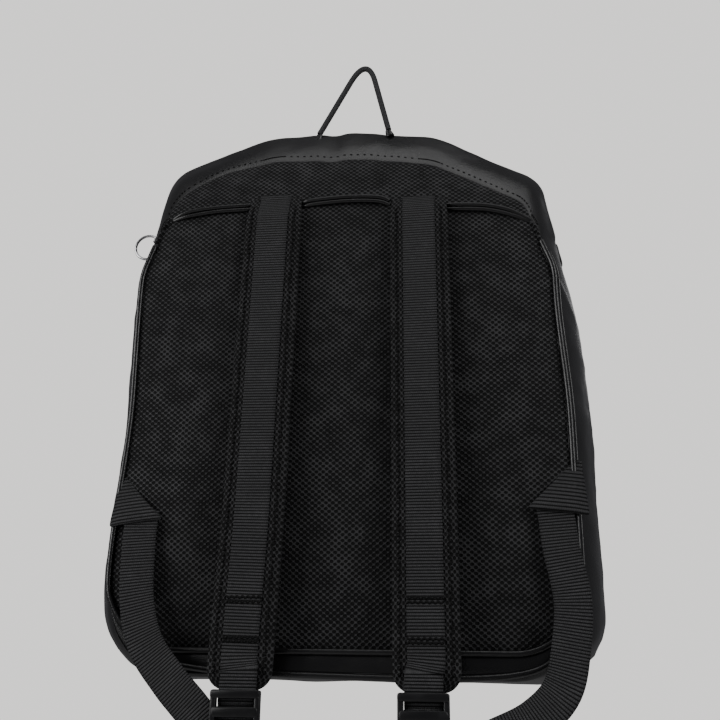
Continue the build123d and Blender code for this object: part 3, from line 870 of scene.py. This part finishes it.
class DAYPACK_OT_leather_body(bpy.types.Operator):
    """Builds the bag's leather behind the zip, its sides, bottom and lower band."""

    bl_idname = "daypack.leather_body"
    bl_label = "Leather Body"

    def execute(self, context):
        right, left = step_at(LEG_END, 1), step_at(LEG_END, -1)
        yoke_right, yoke_left = step_at(YOKE_CORNER, 1), step_at(YOKE_CORNER, -1)

        def keep(step, row):
            if row > 2 and right < step < left:
                return False
            return row > 1 or not yoke_right - 3 < step < yoke_left + 3

        def place(step, row):
            y = rear_depth(step, row)
            edge = -1.6 * (1 - ease(y, BACK_FACE, BACK_FACE + 5))
            hem = turned = 0
            if right < step < left:
                hem = 1.3 * ease(row, 1.7, 1.95) * (1 - ease(row, 2.0, 2.1))
            if yoke_right < step < yoke_left and row < 1.8:
                turned = 1.2 * ease(row, 1.02, 1.14) - 0.6
            return shell(step, y, edge + hem + turned * (1 - ease(row, 1.3, 1.7)))

        bm = grid(all_steps(right, left), REAR_ROWS, place, wrap=True, keep=keep, inside=BAG_INSIDE)
        keep_piece(bm, "leather_body", leather(), "bag",
                   ("top_panel", "left_gusset", "right_gusset", "bottom_panel", "back_band"),
                   thickness=0.0016)

        def band(step, row):
            flat = on_loop(BACK_LOOP, step).lerp(on_loop(LOOPS[0][1], step), row * 1.08 - 0.04)
            x, z = settled(flat)
            puff = 2.6 * sqrt(sin(pi * min(1, max(0, row)))) + 0.5 * ripple(flat.x * 1.5, 20, flat.y)
            return at(x, BACK_FACE + 2.4 - puff, z)

        bm = grid(spaced(STEPS - 32, STEPS + 12, 110), spaced(0, 1, 8), band, inside=BAG_INSIDE)
        keep_piece(bm, "leather_band", leather(), "bag", thickness=0.0014)

        def seam(step):
            return shell(step, yoke_seam(step) + 2.6, 0.9)

        places = [(seam(step), (seam(step + 0.3) - seam(step)).normalized())
                  for step in spaced(yoke_right + 3, yoke_left - 3, 92)]
        keep_piece(stitches(places, 1.25, 0.42), "yoke_stitches", webbing_finish(), "bag",
                   levels=0)
        return {"FINISHED"}


class DAYPACK_OT_front_leather(bpy.types.Operator):
    """Builds the leather in front of the zip, where the bag opens."""

    bl_idname = "daypack.front_leather"
    bl_label = "Front Leather"

    def execute(self, context):
        turn = 9.0  # the radius of the front's rounded rim
        rows = runs(16, 6, 14)

        def place(step, row):
            if row <= 1:
                return shell(step, TAPE_FRONT + (FRONT_FACE - turn - TAPE_FRONT) * row)
            if row <= 2:
                angle = (row - 1) * pi / 2
                return shell(step, FRONT_FACE - turn + turn * sin(angle), -turn * (1 - cos(angle)))
            rim = shell(step, FRONT_FACE, -turn)
            share = row - 2
            spot = rim.lerp(at(0, FRONT_FACE, -290), share)
            folds = 1.1 * ripple(spot.x / MM, 60, spot.z / MM) * (1 - share)
            crown = 3.4 * ease(share, 0, 0.5) + folds
            spot.y = (FRONT_FACE + crown * min(1, share * 12)) * MM
            return spot

        bm = grid(all_steps(), rows, place, wrap=True, inside=BAG_INSIDE)
        keep_piece(bm, "front_leather", leather(),
                   replaced=("front_panel", "flap_panel"), levels=0, thickness=0.0016,
                   blend=("bag", "front_flap", at(0, 120, -152), at(0, 120, -126)))
        return {"FINISHED"}


class DAYPACK_OT_mesh_back(bpy.types.Operator):
    """Builds the padded mesh back and the mesh yoke above it."""

    bl_idname = "daypack.mesh_back"
    bl_label = "Mesh Back"

    def execute(self, context):
        crown = settings().back_crown / MM
        centre = Vector((0, -310))

        def pad(step, row):
            share = 1 - (1 - abs(row)) ** 1.5
            rim = on_loop(BACK_LOOP, step) + outward(BACK_LOOP, step) * 1.2
            flat = centre.lerp(rim, share)
            x, z = settled(flat)
            hollow = 1.3 * (1 - ease(abs(abs(flat.x) - 60), 8, 30)) * (1 - ease(share, 0.75, 0.95))
            folds = 0.5 * ripple(flat.x, 0, flat.y) * (1 - share ** 4)
            puff = crown * (1 - share ** 5) - hollow + folds
            edge = sqrt(max(0.0, 1 - share ** 36))
            y = BACK_FACE + 2.2 - puff - 2.6 * edge if row < 0 else BACK_FACE + 2.2 + 6 * edge
            return at(x, y, z)

        rows = [-k / 26 for k in range(27)] + [1 - k / 8 for k in range(1, 9)]
        rows[0] = -1e-6
        bm = grid(all_steps(), rows, pad, wrap=True)
        settle_normals(bm)
        back = keep_piece(bm, "mesh_back", air_mesh(), "bag", ("back_pad",), levels=0)

        low, high = step_at(YOKE_CORNER, 1) - 3, step_at(YOKE_CORNER, -1) + 3

        def yoke(step, row):
            out = 0.4 + 1.6 * sin(pi * row) - 1.6 * (1 - ease(row, 0, 0.3))
            return shell(step, rear_depth(step, row), out, 0.4)

        bm = grid(spaced(low, high, 150), spaced(0, 1.03, 10), yoke, inside=BAG_INSIDE)
        yoke_piece = keep_piece(bm, "yoke_mesh", air_mesh(), "bag", ("mesh_yoke",),
                                thickness=0.0025)
        return {"FINISHED"}


class DAYPACK_OT_piping(bpy.types.Operator):
    """Builds the leather piping along the seams of the back, the lower band and the front."""

    bl_idname = "daypack.piping"
    bl_label = "Piping"

    def execute(self, context):
        radius = settings().piping_diameter / 2

        def along(loop, low, high, y, count, out):
            points = []
            for step in spaced(low, high, count):
                x, z = settled(on_loop(loop, step) + outward(loop, step) * out)
                points.append((x, y, z))
            return points

        start, stop = step_at(-165, 1), step_at(-165, -1)
        side = along(BACK_LOOP, stop, start + STEPS, BACK_FACE - 0.6, 90, 0.6)
        twin = along(BACK_LOOP, stop + 4, start + STEPS - 4, BACK_FACE + 4.2, 80, 3.6)
        bm = joined([tube(side, radius, 3), tube(twin, radius * 0.7, 3)])
        keep_piece(bm, "back_edge_piping", leather("Piping leather", 1.2, 0.24, 0.25, 60.0, 0.0006),
                   "bag", ("back_piping",), levels=0)

        across = []
        for shift, y in ((0, -31.6), (-3.6, -31.2)):
            stretches = (  # left of the straps, between them and right of them
                [(-144, y + 2.6, -151.5), (-132, y, -146.5), (-108, y, -143.5), (-84, y, -143),
                 (-78, y + 2, -142)],
                [(-36, y + 2, -142.5), (-28, y, -141.5), (0, y, -140), (24, y, -141.5),
                 (34, y + 2, -144.5)],
                [(77, y + 2, -151), (88, y, -152), (110, y, -154), (128, y + 0.5, -159),
                 (144, y + 2.6, -168)],
            )
            for stretch in stretches:
                points = [(a, b, c + shift * (0.25 if abs(a) > 140 else 1)) for a, b, c in stretch]
                across.append(tube(points, radius * 0.75, 6))

        band = [(-150, -25, -478), (-136, -29.2, -489), (-110, -30.2, -497), (-70, -30.5, -500.5),
                (-20, -30.5, -502), (40, -30.5, -503), (86, -30.5, -502.5), (118, -30.2, -500),
                (138, -29, -494), (151, -25, -481)]
        start, stop = step_at(-150, 1), step_at(-150, -1)
        front = along(LOOPS[-1][1], stop, start + STEPS, FRONT_FACE - 2.5, 80, -0.6)
        for bm, name, node in ((joined(across), "cross_seam_piping", "cross_piping"),
                               (tube(band, radius, 8), "band_edge_piping", "band_piping"),
                               (tube(front, radius, 3), "front_edge_piping", "front_piping")):
            keep_piece(bm, name, leather("Piping leather"), "bag", (node,), levels=0)
        return {"FINISHED"}


# ---- Straps ----


def strap_middle(z):
    """Depth of the strap's middle plane at one height."""
    share = (-141.5 - z) / 370
    sewn = 4.5 * (1 - ease(-z, 138, 160))
    return -36.5 - 18.2 * share + 2.8 * share * share + sewn


def strap_half(z):
    """Half the strap's thickness at one height."""
    return 5 * (0.35 + 0.65 * ease(-z, 139, 168)) * (1 - 0.3 * ease(-z, 470, 505))


def strap_x(z, side):
    """How far from the bag's middle line the strap's own middle is at one height."""
    share = (-141.5 - z) / 370
    return side * (57.5 + 4 * share) - (0.3 if side > 0 else 2.0) * ease(-z, 380, 510)


def lock_middle(side):
    """The lock's middle; the two locks hang unevenly."""
    return 59.5 if side > 0 else -62


def strap_top(side):
    """The height where the strap is sewn on; the right one starts lower."""
    return STRAP_TOP - 9 if side > 0 else STRAP_TOP


def strap_hinge(side):
    """The stretch over which the strap bends away from the bag."""
    return at(strap_x(-145, side), -36, -139), at(strap_x(-160, side), -38, -160)


class DAYPACK_OT_shoulder_straps(bpy.types.Operator):
    """Builds both padded shoulder straps with their stitched webbing."""

    bl_idname = "daypack.shoulder_straps"
    bl_label = "Shoulder Straps"

    def execute(self, context):
        for side, name in SIDES:
            self.pad(side, name)
            self.webbing(side, name)
        return {"FINISHED"}

    def pad(self, side, name):
        half = settings().strap_width / 2
        top = strap_top(side)
        heights = [top - 4 * k for k in range(5)] + spaced(top - 20, -498, 46)[1:]
        heights += [-502, -505, -507.5, -509.5, -510.8, STRAP_END]
        path = [at(strap_x(z, side), strap_middle(z), z) for z in heights]
        section = []
        count = 56
        for k in range(count):
            angle = 2 * pi * k / count
            wide, deep = squared(cos(angle), 0.55), squared(sin(angle), 0.72)
            groove = 0.16 * (1 - ease(abs(abs(wide) - 0.84), 0.0, 0.07))
            trough = 0.16 * (1 - ease(abs(wide), 0.50, 0.62))
            section.append((half * wide, 0.001 * deep * (1 - groove - trough)))

        def scale(share):
            z = top + (STRAP_END - top) * share
            near = max(0.0, min(1.0, (z + 511.6) / 13))
            round_off = sqrt(max(0.0, 1 - (1 - near) ** 2))
            tuck = 0.93 + 0.07 * ease(-z, 140, 170)
            return (0.42 + 0.58 * round_off) * tuck, strap_half(z) * (0.25 + 0.75 * round_off)

        bm = sweep(path, level(path), section, scale)
        piece = keep_piece(bm, f"{name}_strap_pad", strap_mesh(),
                           replaced=(f"{name}_shoulder_strap", f"{name}_strap_root"),
                           blend=("bag", f"{name}_strap", *strap_hinge(side)))

    def webbing(self, side, name):
        width, thick = settings().webbing_width, settings().webbing_thickness
        top = strap_top(side)
        heights = [top - 5 * k for k in range(6)] + spaced(top - 30, -494, 44)[1:]
        path = [at(strap_x(z, side), strap_middle(z) - strap_half(z) * 0.86 - 0.5, z)
                for z in heights]
        round_bar = [(-58.6, -498), (-59.6, -505), (-60.6, -512), (-61.4, -517.5), (-60.4, -520),
                     (-58.9, -518), (-58.7, -514)]
        path += [at(lock_middle(side), y, z) for y, z in smooth_path(round_bar, 4)]
        bm = sweep(path, level(path), flat_section(width, thick))
        keep_piece(bm, f"{name}_sewn_webbing", webbing_finish(), levels=0,
                   replaced=(f"{name}_strap_webbing",),
                   blend=("bag", f"{name}_strap", *strap_hinge(side)))
        self.binding(side, name, top)

    def binding(self, side, name, top):
        """Slanted stitches beside the webbing, and the rows that hold its low end."""
        places = []
        for edge in (-1, 1):
            for z in spaced(top - 12, -500, 92):
                x = strap_x(z, side) + edge * 17.2
                y = strap_middle(z) - strap_half(z) * 0.93
                places.append((at(x, y, z), Vector((edge * 0.62, -0.05, -0.8)).normalized()))
        for row, z in enumerate((-452, -455, -478, -480.5)):
            for k in range(13):
                x = strap_x(z, side) - 11.4 + 1.9 * k
                y = strap_middle(z) - strap_half(z) * 0.86 - 1.3
                slant = 1 if (k + row) % 2 else -1
                places.append((at(x, y, z), Vector((0.7, 0, 0.7 * slant)).normalized()))
        keep_piece(stitches(places, 2.1, 0.75), f"{name}_strap_stitches", webbing_finish(),
                   levels=0, blend=("bag", f"{name}_strap", *strap_hinge(side)))


class DAYPACK_OT_lower_webbing(bpy.types.Operator):
    """Builds the webbing that joins each strap's lock to the bag's side, with its sewn tab."""

    bl_idname = "daypack.lower_webbing"
    bl_label = "Lower Webbing"

    def execute(self, context):
        routes = {
            "left": [(-146.5, -34, -390), (-146.4, -36.2, -399), (-146, -38.5, -414),
                     (-142.5, -43, -452), (-131.5, -49, -482), (-111, -54, -506), (-91, -58, -525),
                     (-75, -62, -543), (-66, -64, -551), (-62.2, -63, -546), (-62, -61.2, -535),
                     (-62, -60.8, -524), (-62, -60.9, -514)],
            "right": [(149, -34, -386), (150, -36.2, -397), (152, -38.5, -419), (157, -43, -452),
                      (154, -48, -481), (146.5, -52, -508), (128, -57, -526), (103, -60.5, -538),
                      (82, -63, -548), (67, -64.5, -553), (60, -63, -546), (59.5, -61.2, -535),
                      (59.5, -60.8, -524), (59.5, -60.9, -514)],
        }
        free_end = [(-60.2, -533), (-62.5, -538), (-66.5, -543), (-69, -550), (-70.2, -566),
                    (-70.6, -586)]
        width, thick = settings().webbing_width, settings().webbing_thickness
        for side, name in SIDES:
            points = routes[name]
            path = [at(*p) for p in smooth_path(points, 8)]
            total = len(path) - 1
            sides = []
            for index in range(len(path)):
                run = (path[min(index + 1, total)] - path[max(index - 1, 0)]).normalized()
                flat = run.cross(Vector((0, -1, 0.12))).normalized()
                share = index / total
                turned = ease(share, 0.56, 0.70) * (1 - ease(share, 0.74, 0.84))
                if share > 0.72:
                    flat = Vector((-side, 0, 0))
                edge_on = Vector((0, side, 0))
                if turned < 1:
                    edge_on = (flat * (1 - turned) + edge_on * turned).normalized()
                sides.append(edge_on)
            loop = sweep(path, sides, flat_section(width, thick))
            tail = [at(lock_middle(side), y, z) for y, z in smooth_path(free_end, 6)]
            tail_band = sweep(tail, level(tail), flat_section(width, thick))
            start = at(points[0][0], -34, -380)
            end = at(points[0][0], -35, -402)
            keep_piece(joined([loop, tail_band]), f"{name}_lower_webbing", webbing_finish(),
                       levels=0, replaced=(f"{name}_adjuster_webbing",),
                       blend=("bag", f"{name}_strap", start, end))
            self.tab(side, name)
        return {"FINISHED"}

    def tab(self, side, name):
        """The folded corner of webbing that holds the strap's lower end to the back's edge."""
        top, outer, inner = (Vector(corner) for corner in (
            ((164.5, -360), (167, -402), (126, -396.5)) if side < 0
            else ((169, -352), (173, -396), (129, -391))))

        def place(across, down):
            flat = top.lerp(outer.lerp(inner, across), 0.10 + 0.90 * down)
            x, z = settled(Vector((side * flat.x, flat.y)))
            lift = 1.6 * sin(pi * across) * down
            rise = 6.4 * ease(down, 0, 0.9) * (1 - 0.45 * ease(-across, -0.25, 0))
            return at(x, BACK_FACE - 1.2 - rise - lift, z)

        bm = grid(spaced(0, 1, 10), spaced(0, 1, 10), place,
                  uv=lambda a, b: (a * 0.037, b * 0.03), inside=BAG_INSIDE)
        keep_piece(bm, f"{name}_sewn_tab", webbing_finish(), "bag",
                   (f"{name}_anchor_tab",), thickness=0.0028)


class DAYPACK_OT_ladder_locks(bpy.types.Operator):
    """Builds the moulded ladder locks at the straps' lower ends."""

    bl_idname = "daypack.ladder_locks"
    bl_label = "Ladder Locks"

    def execute(self, context):
        blocks = (  # centre and full sizes in millimetres, x counted from the lock's middle
            (0, -65.0, -513.2, 33, 3.6, 5.2),
            (0, -64.4, -524.2, 31, 3.4, 6.4),
            (0, -64.0, -538.2, 31, 4.2, 4.2),
            (-14.6, -63.6, -525.6, 3.8, 4.6, 29.2),
            (14.6, -63.6, -525.6, 3.8, 4.6, 29.2),
        )
        rounded = {"segments": 2, "affect": "EDGES", "profile": 0.5, "material": -1}
        for side, name in SIDES:
            middle = lock_middle(side)
            parts = []
            for x, y, z, wide, deep, tall in blocks:
                bm = bmesh.new()
                bmesh.ops.create_cube(bm, size=1)
                bmesh.ops.scale(bm, vec=Vector((wide, deep, tall)) * MM, verts=bm.verts)
                upright = [e for e in bm.edges
                           if abs((e.verts[0].co - e.verts[1].co).normalized().y) > 0.9]
                bmesh.ops.bevel(bm, geom=upright, offset=min(wide, tall) * MM * 0.3, **rounded)
                rims = [e for e in bm.edges if e.calc_face_angle(0) > 0.9]
                bmesh.ops.bevel(bm, geom=rims, offset=0.6 * MM, **rounded)
                bmesh.ops.translate(bm, vec=at(middle + x, y, z), verts=bm.verts)
                parts.append(bm)
            keep_piece(joined(parts), f"{name}_lock_frame", moulded_plastic(),
                       f"{name}_lock", (f"{name}_ladder_lock",), levels=0)
        return {"FINISHED"}


# ---- Cord ----


class DAYPACK_OT_hang_cord(bpy.types.Operator):
    """Builds the hang cord and the leather pinched round its two sewn ends."""

    bl_idname = "daypack.hang_cord"
    bl_label = "Hang Cord"

    def execute(self, context):
        route = ((-0.039, 0, -0.0608), (-0.0192, 0, -0.0232), (-0.0057, 0, 0.0024),
                 (0.0057, 0, 0.0024), (0.0125, 0, -0.0258), (0.021, 0, -0.0608))
        curve = bpy.data.curves.new("cord_loop", "CURVE")
        curve.dimensions = "3D"
        curve.bevel_depth = settings().cord_diameter / 2
        curve.bevel_resolution = 4
        curve.resolution_u = 16
        spline = curve.splines.new("NURBS")
        spline.points.add(len(route) - 1)
        for point, place in zip(spline.points, route):
            point.co = (*place, 1)
        spline.order_u = 3
        spline.use_endpoint_u = True
        cord = bpy.data.objects.new("cord_loop", curve)
        bpy.context.collection.objects.link(cord)
        curve.materials.append(braided_cord())
        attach(cord, "bag")
        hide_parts("hang_cord")

        parts = []
        for x, lean in ((-30, 1), (30, -1)):
            upward = [(x - lean * 1.5, 1, -67), (x, 0.5, -63), (x + lean * 0.6, 0, -61)]
            path = [at(*p) for p in smooth_path(upward, 5)]
            parts.append(sweep(path, level(path), round_section(0.0040, 16),
                               lambda share: (1 - 0.40 * share, 0.9 - 0.32 * share)))
        keep_piece(joined(parts), "cord_collars", leather(), "bag", ("cord_anchors",))
        return {"FINISHED"}


# ---- Zips ----


def zip_cloth():
    """The cloth of every zip's tapes."""
    return woven_cloth("Zip tape", (0.010, 0.010, 0.011), 700.0)


def teeth_along(place, length, size):
    """Small blocks side by side; place(distance) gives each one's matrix."""
    bm = bmesh.new()
    sizes = Matrix.Diagonal((*size, 1))
    pitch = settings().tooth_pitch
    for index in range(int(length / pitch)):
        bmesh.ops.create_cube(bm, size=1, matrix=place((index + 0.5) * pitch) @ sizes)
    return bm


class DAYPACK_OT_main_zip(bpy.types.Operator):
    """Builds the main zip: its tapes, both rows of teeth, its stitched ends and its metal."""

    bl_idname = "daypack.main_zip"
    bl_label = "Main Zip"

    def execute(self, context):
        low, high = step_at(LEG_END, 1), step_at(LEG_END, -1)
        fold_low, fold_high = step_at(FOLD + 1, 1), step_at(FOLD + 1, -1)
        self.tape("rear", low, high, TAPE_REAR - 2, TEETH_REAR + 1, "bag")
        self.tape("front", fold_low, fold_high, TEETH_FRONT - 1, TAPE_FRONT + 2, "front_flap")
        self.teeth("rear", low, high, TEETH_REAR, "bag")
        self.teeth("front", fold_low, fold_high, TEETH_FRONT, "front_flap")

        parts = [grid(spaced(first, last, 10), spaced(TEETH_FRONT - 1.6, TAPE_FRONT + 2, 4),
                      lambda s, y: shell(s, y, -2.3))
                 for first, last in ((low, fold_low - 0.2), (fold_high + 0.2, high))]
        bm = joined(parts)
        settle_normals(bm, BAG_INSIDE)
        keep_piece(bm, "zip_side_tape", zip_cloth(), "bag", ("zip_lower_ends",),
                   levels=0, thickness=0.0006)

        def patch(step, y):
            return shell(step, y, 0.9 - 0.6 * abs((y - ZIP_MIDDLE) / PATCH_HALF) ** 4)

        patch_rows = spaced(ZIP_MIDDLE - PATCH_HALF, ZIP_MIDDLE + PATCH_HALF, 8)
        bm = joined([grid(spaced(step, step + reach, 6), patch_rows, patch)
                     for step, reach in ((low, -1.6), (high, 1.6))])
        settle_normals(bm, BAG_INSIDE)
        keep_piece(bm, "zip_end_patches", leather(), "bag", ("zip_end_tabs",),
                   thickness=0.001)

        dark = plated("Dark plated metal", (0.23, 0.23, 0.235), 0.22)
        for node in ("zip_slider", "zip_pull", "pocket_slider", "pocket_pull"):
            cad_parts[node].material_slots[0].material = dark
        bright = plated("Polished ring", settings().metal_colour, 0.12)
        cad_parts["zip_ring"].material_slots[0].material = bright
        return {"FINISHED"}

    def tape(self, end, low, high, y0, y1, body):
        """One side's tape, the rear or the front."""
        bm = grid(spaced(low, high, 220), spaced(y0, y1, 5), lambda s, y: shell(s, y, -TAPE_SUNK),
                  inside=BAG_INSIDE)
        keep_piece(bm, f"{end}_zip_tape", zip_cloth(), body, (f"zip_tape_{end}",),
                   levels=0, thickness=0.0006)

    def teeth(self, end, low, high, y, body):
        """One side's row of teeth, each turned along the zip."""
        steps = spaced(low, high, 400)
        lengths = lengths_along([shell(step, y) for step in steps])

        def place(distance):
            index = next(k for k, length in enumerate(lengths) if length >= distance)
            before, here, after = (shell(steps[k], y, -TEETH_SUNK) for k in (
                max(index - 1, 0), index, min(index + 1, len(steps) - 1)))
            run = (after - before).normalized()
            deep = Vector((0, 1, 0))
            deep = (deep - run * deep.dot(run)).normalized()
            turned = Matrix((run, deep, deep.cross(run))).transposed().to_4x4()
            return Matrix.Translation(here) @ turned

        bm = teeth_along(place, lengths[-1], (0.0013, 0.0028, 0.0014))
        keep_piece(bm, f"{end}_zip_teeth", moulded_plastic(), body,
                   (f"zip_teeth_{end}",), levels=0)


# ---- Pocket and lining ----

POCKET_TOP, POCKET_LOW = -234, -440


class DAYPACK_OT_front_pocket(bpy.types.Operator):
    """Builds the front pocket with the zip along its top."""

    bl_idname = "daypack.front_pocket"
    bl_label = "Front Pocket"

    def execute(self, context):
        half, centre_z = 113, (POCKET_TOP + POCKET_LOW) / 2
        tall = (POCKET_TOP - POCKET_LOW) / 2

        def edge(angle, inset):
            x, z = squared(cos(angle), 0.28), squared(sin(angle), 0.28)
            return x * (half - inset), z * (tall - inset)

        def place(angle, row):
            if row <= 1:
                x, z = edge(angle, 0.6 * sin(pi * row))
                y = FRONT_FACE + 1.5 + 9.5 * row
            elif row <= 2:
                turn = (row - 1) * pi / 2
                x, z = edge(angle, 4.5 * (1 - cos(turn)))
                y = FRONT_FACE + 11 + 4.5 * sin(turn)
            else:
                share = 1 - (row - 2)
                x, z = edge(angle, 4.5)
                x, z = x * share, z * share
                folds = ripple(x, 90, z) * (1 - share ** 6)
                y = FRONT_FACE + 15.5 + 3.2 * (1 - share ** 3) + folds
            return at(x, y, centre_z + z)

        def keep(angle, row):
            x, z = edge(angle, 0)
            return not (z > tall - 3 and abs(x) < 99 and 0.1 < row < 1.55)

        bm = grid(spaced(0, 2 * pi, 144), runs(8, 6, 12), place, wrap=True, keep=keep,
                  inside=at(0, FRONT_FACE + 2, centre_z))
        keep_piece(bm, "pocket_leather", leather(), "bag", ("pocket_panel",),
                   levels=0, thickness=0.0014)

        zip_half, zip_z = 98, POCKET_TOP - 0.6
        for name, y0, y1, node in (("pocket_rear_tape", 120.5, 126.8, "pocket_tape_back"),
                                   ("pocket_front_tape", 129.2, 135.2, "pocket_tape_front")):
            bm = grid(spaced(-zip_half, zip_half, 24), spaced(y0, y1, 3),
                      lambda x, y: at(x, y, zip_z), inside=at(0, 128, -300))
            keep_piece(bm, name, zip_cloth(), "bag", (node,), levels=0, thickness=0.0006)
        rows = [teeth_along(lambda d, y=y: Matrix.Translation(at(-zip_half + d / MM, y, zip_z)),
                            0.196, (0.0013, 0.0026, 0.0014)) for y in (126.2, 129.8)]
        keep_piece(joined(rows), "pocket_teeth", moulded_plastic(), "bag", levels=0)
        return {"FINISHED"}


class DAYPACK_OT_inside(bpy.types.Operator):
    """Builds the cloth lining and finishes the stiffening sheet behind the back."""

    bl_idname = "daypack.inside"
    bl_label = "Inside"

    def execute(self, context):
        cloth = woven_cloth("Lining cloth", (0.030, 0.031, 0.036), 500.0)
        rows = runs(10, 16, 10)

        def place(step, row):
            if row <= 1:
                rim, middle = shell(step, -15, -9), at(0, -15, -300)
                return middle.lerp(rim, row)
            if row <= 2:
                return shell(step, -15 + 128 * (row - 1), -9 + 4 * sin(pi * (row - 1)))
            rim, middle = shell(step, 113, -9), at(0, 113, -300)
            return rim.lerp(middle, row - 2)

        bm = grid(all_steps(), rows, place, wrap=True)
        top = -174 * MM  # the lining is open above this height
        bmesh.ops.bisect_plane(bm, geom=[*bm.verts, *bm.edges, *bm.faces],
                               plane_co=(0, 0, top), plane_no=(0, 0, 1), clear_outer=True)
        settle_normals(bm, BAG_INSIDE)
        keep_piece(bm, "lining_cloth", cloth, "bag", ("lining",), levels=0, thickness=0.0008)
        stiffener = woven_cloth("Stiffener", (0.05, 0.05, 0.05), 300.0)
        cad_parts["back_sheet"].material_slots[0].material = stiffener
        return {"FINISHED"}


# ---- Stage ----

CAMERA_PLACE = (0.0912, -0.6682, -0.4879)
CAMERA_YAW, CAMERA_PITCH, CAMERA_ROLL = radians(7.88), radians(18.1), radians(0.71)
FLOOR_DEPTH = -1.35


class DAYPACK_OT_stage(bpy.types.Operator):
    """Builds the floor, the lights, the pale surroundings and the camera."""

    bl_idname = "daypack.stage"
    bl_label = "Stage"

    def execute(self, context):
        scene = context.scene
        bm = bmesh.new()
        bmesh.ops.create_grid(bm, x_segments=8, y_segments=8, size=4)
        bmesh.ops.translate(bm, vec=(0, 0, FLOOR_DEPTH), verts=bm.verts)
        mesh = bpy.data.meshes.new("floor")
        bm.to_mesh(mesh)
        bm.free()
        mesh.materials.append(pale_floor())
        floor = bpy.data.objects.new("floor", mesh)
        scene.collection.objects.link(floor)

        world = bpy.data.worlds.new("Pale room")
        world.use_nodes = True
        room = Tree(world.node_tree)
        seen = room.add("ShaderNodeLightPath").outputs["Is Camera Ray"]
        tint = room.mix(seen, (0.10, 0.10, 0.105, 1), (1.0, 0.985, 0.965, 1))
        room.feed(world.node_tree.nodes["Background"], "Color", tint)
        room.feed(world.node_tree.nodes["Background"], "Strength", 1.2)
        scene.world = world

        target = at(0, 20, -280)
        for name, place, sides, power in (
            ("Ceiling light", (0.10, -0.55, 1.15), (1.5, 0.7), 4.5),
            ("Left fill", (-1.5, -1.1, 0.1), (1.2, 1.2), 19),
            ("Right fill", (1.4, -1.0, 0.3), (0.8, 1.4), 13),
            ("Rear light", (0.2, 1.8, 0.7), (1.4, 1.0), 2),
        ):
            lamp = bpy.data.lights.new(name, "AREA")
            lamp.shape = "RECTANGLE"
            lamp.size, lamp.size_y = sides
            lamp.energy = power
            light = bpy.data.objects.new(name, lamp)
            scene.collection.objects.link(light)
            light.location = place
            light.rotation_euler = (target - Vector(place)).to_track_quat("-Z", "Y").to_euler()

        lens = bpy.data.cameras.new("Camera")
        lens.lens = settings().lens
        lens.sensor_width = 36
        lens.clip_start = 0.01
        camera = bpy.data.objects.new("Camera", lens)
        scene.collection.objects.link(camera)
        yaw, pitch, roll = CAMERA_YAW, CAMERA_PITCH, CAMERA_ROLL
        ahead = Vector((-sin(yaw) * cos(pitch), cos(yaw) * cos(pitch), sin(pitch)))
        right = Vector((cos(yaw), sin(yaw), 0))
        up = right.cross(ahead)
        right, up = right * cos(roll) + up * sin(roll), up * cos(roll) - right * sin(roll)
        turned = Matrix((right, up, -ahead)).transposed().to_4x4()
        camera.matrix_world = Matrix.Translation(CAMERA_PLACE) @ turned
        scene.camera = camera
        return {"FINISHED"}


class DAYPACK_PT_panel(bpy.types.Panel):
    """Lists the daypack's pieces in the sidebar."""

    bl_idname = "DAYPACK_PT_panel"
    bl_label = "Daypack"
    bl_space_type = "VIEW_3D"
    bl_region_type = "UI"
    bl_category = "Daypack"

    def draw(self, context):
        for made in OPERATORS:
            self.layout.operator(made.bl_idname)
        for name in DaypackSettings.__annotations__:
            self.layout.prop(context.scene.daypack, name)


OPERATORS = (
    DAYPACK_OT_stage,
    DAYPACK_OT_hang_cord,
    DAYPACK_OT_leather_body,
    DAYPACK_OT_front_leather,
    DAYPACK_OT_mesh_back,
    DAYPACK_OT_piping,
    DAYPACK_OT_shoulder_straps,
    DAYPACK_OT_lower_webbing,
    DAYPACK_OT_ladder_locks,
    DAYPACK_OT_main_zip,
    DAYPACK_OT_front_pocket,
    DAYPACK_OT_inside,
)
CLASSES = (DaypackSettings, *OPERATORS, DAYPACK_PT_panel)


def register():
    for made in CLASSES:
        bpy.utils.register_class(made)
    bpy.types.Scene.daypack = PointerProperty(type=DaypackSettings)


def unregister():
    del bpy.types.Scene.daypack
    for made in reversed(CLASSES):
        bpy.utils.unregister_class(made)


def main():
    register()
    for made in OPERATORS:
        group, name = made.bl_idname.split(".")
        getattr(getattr(bpy.ops, group), name)()


if __name__ == "__main__":
    main()
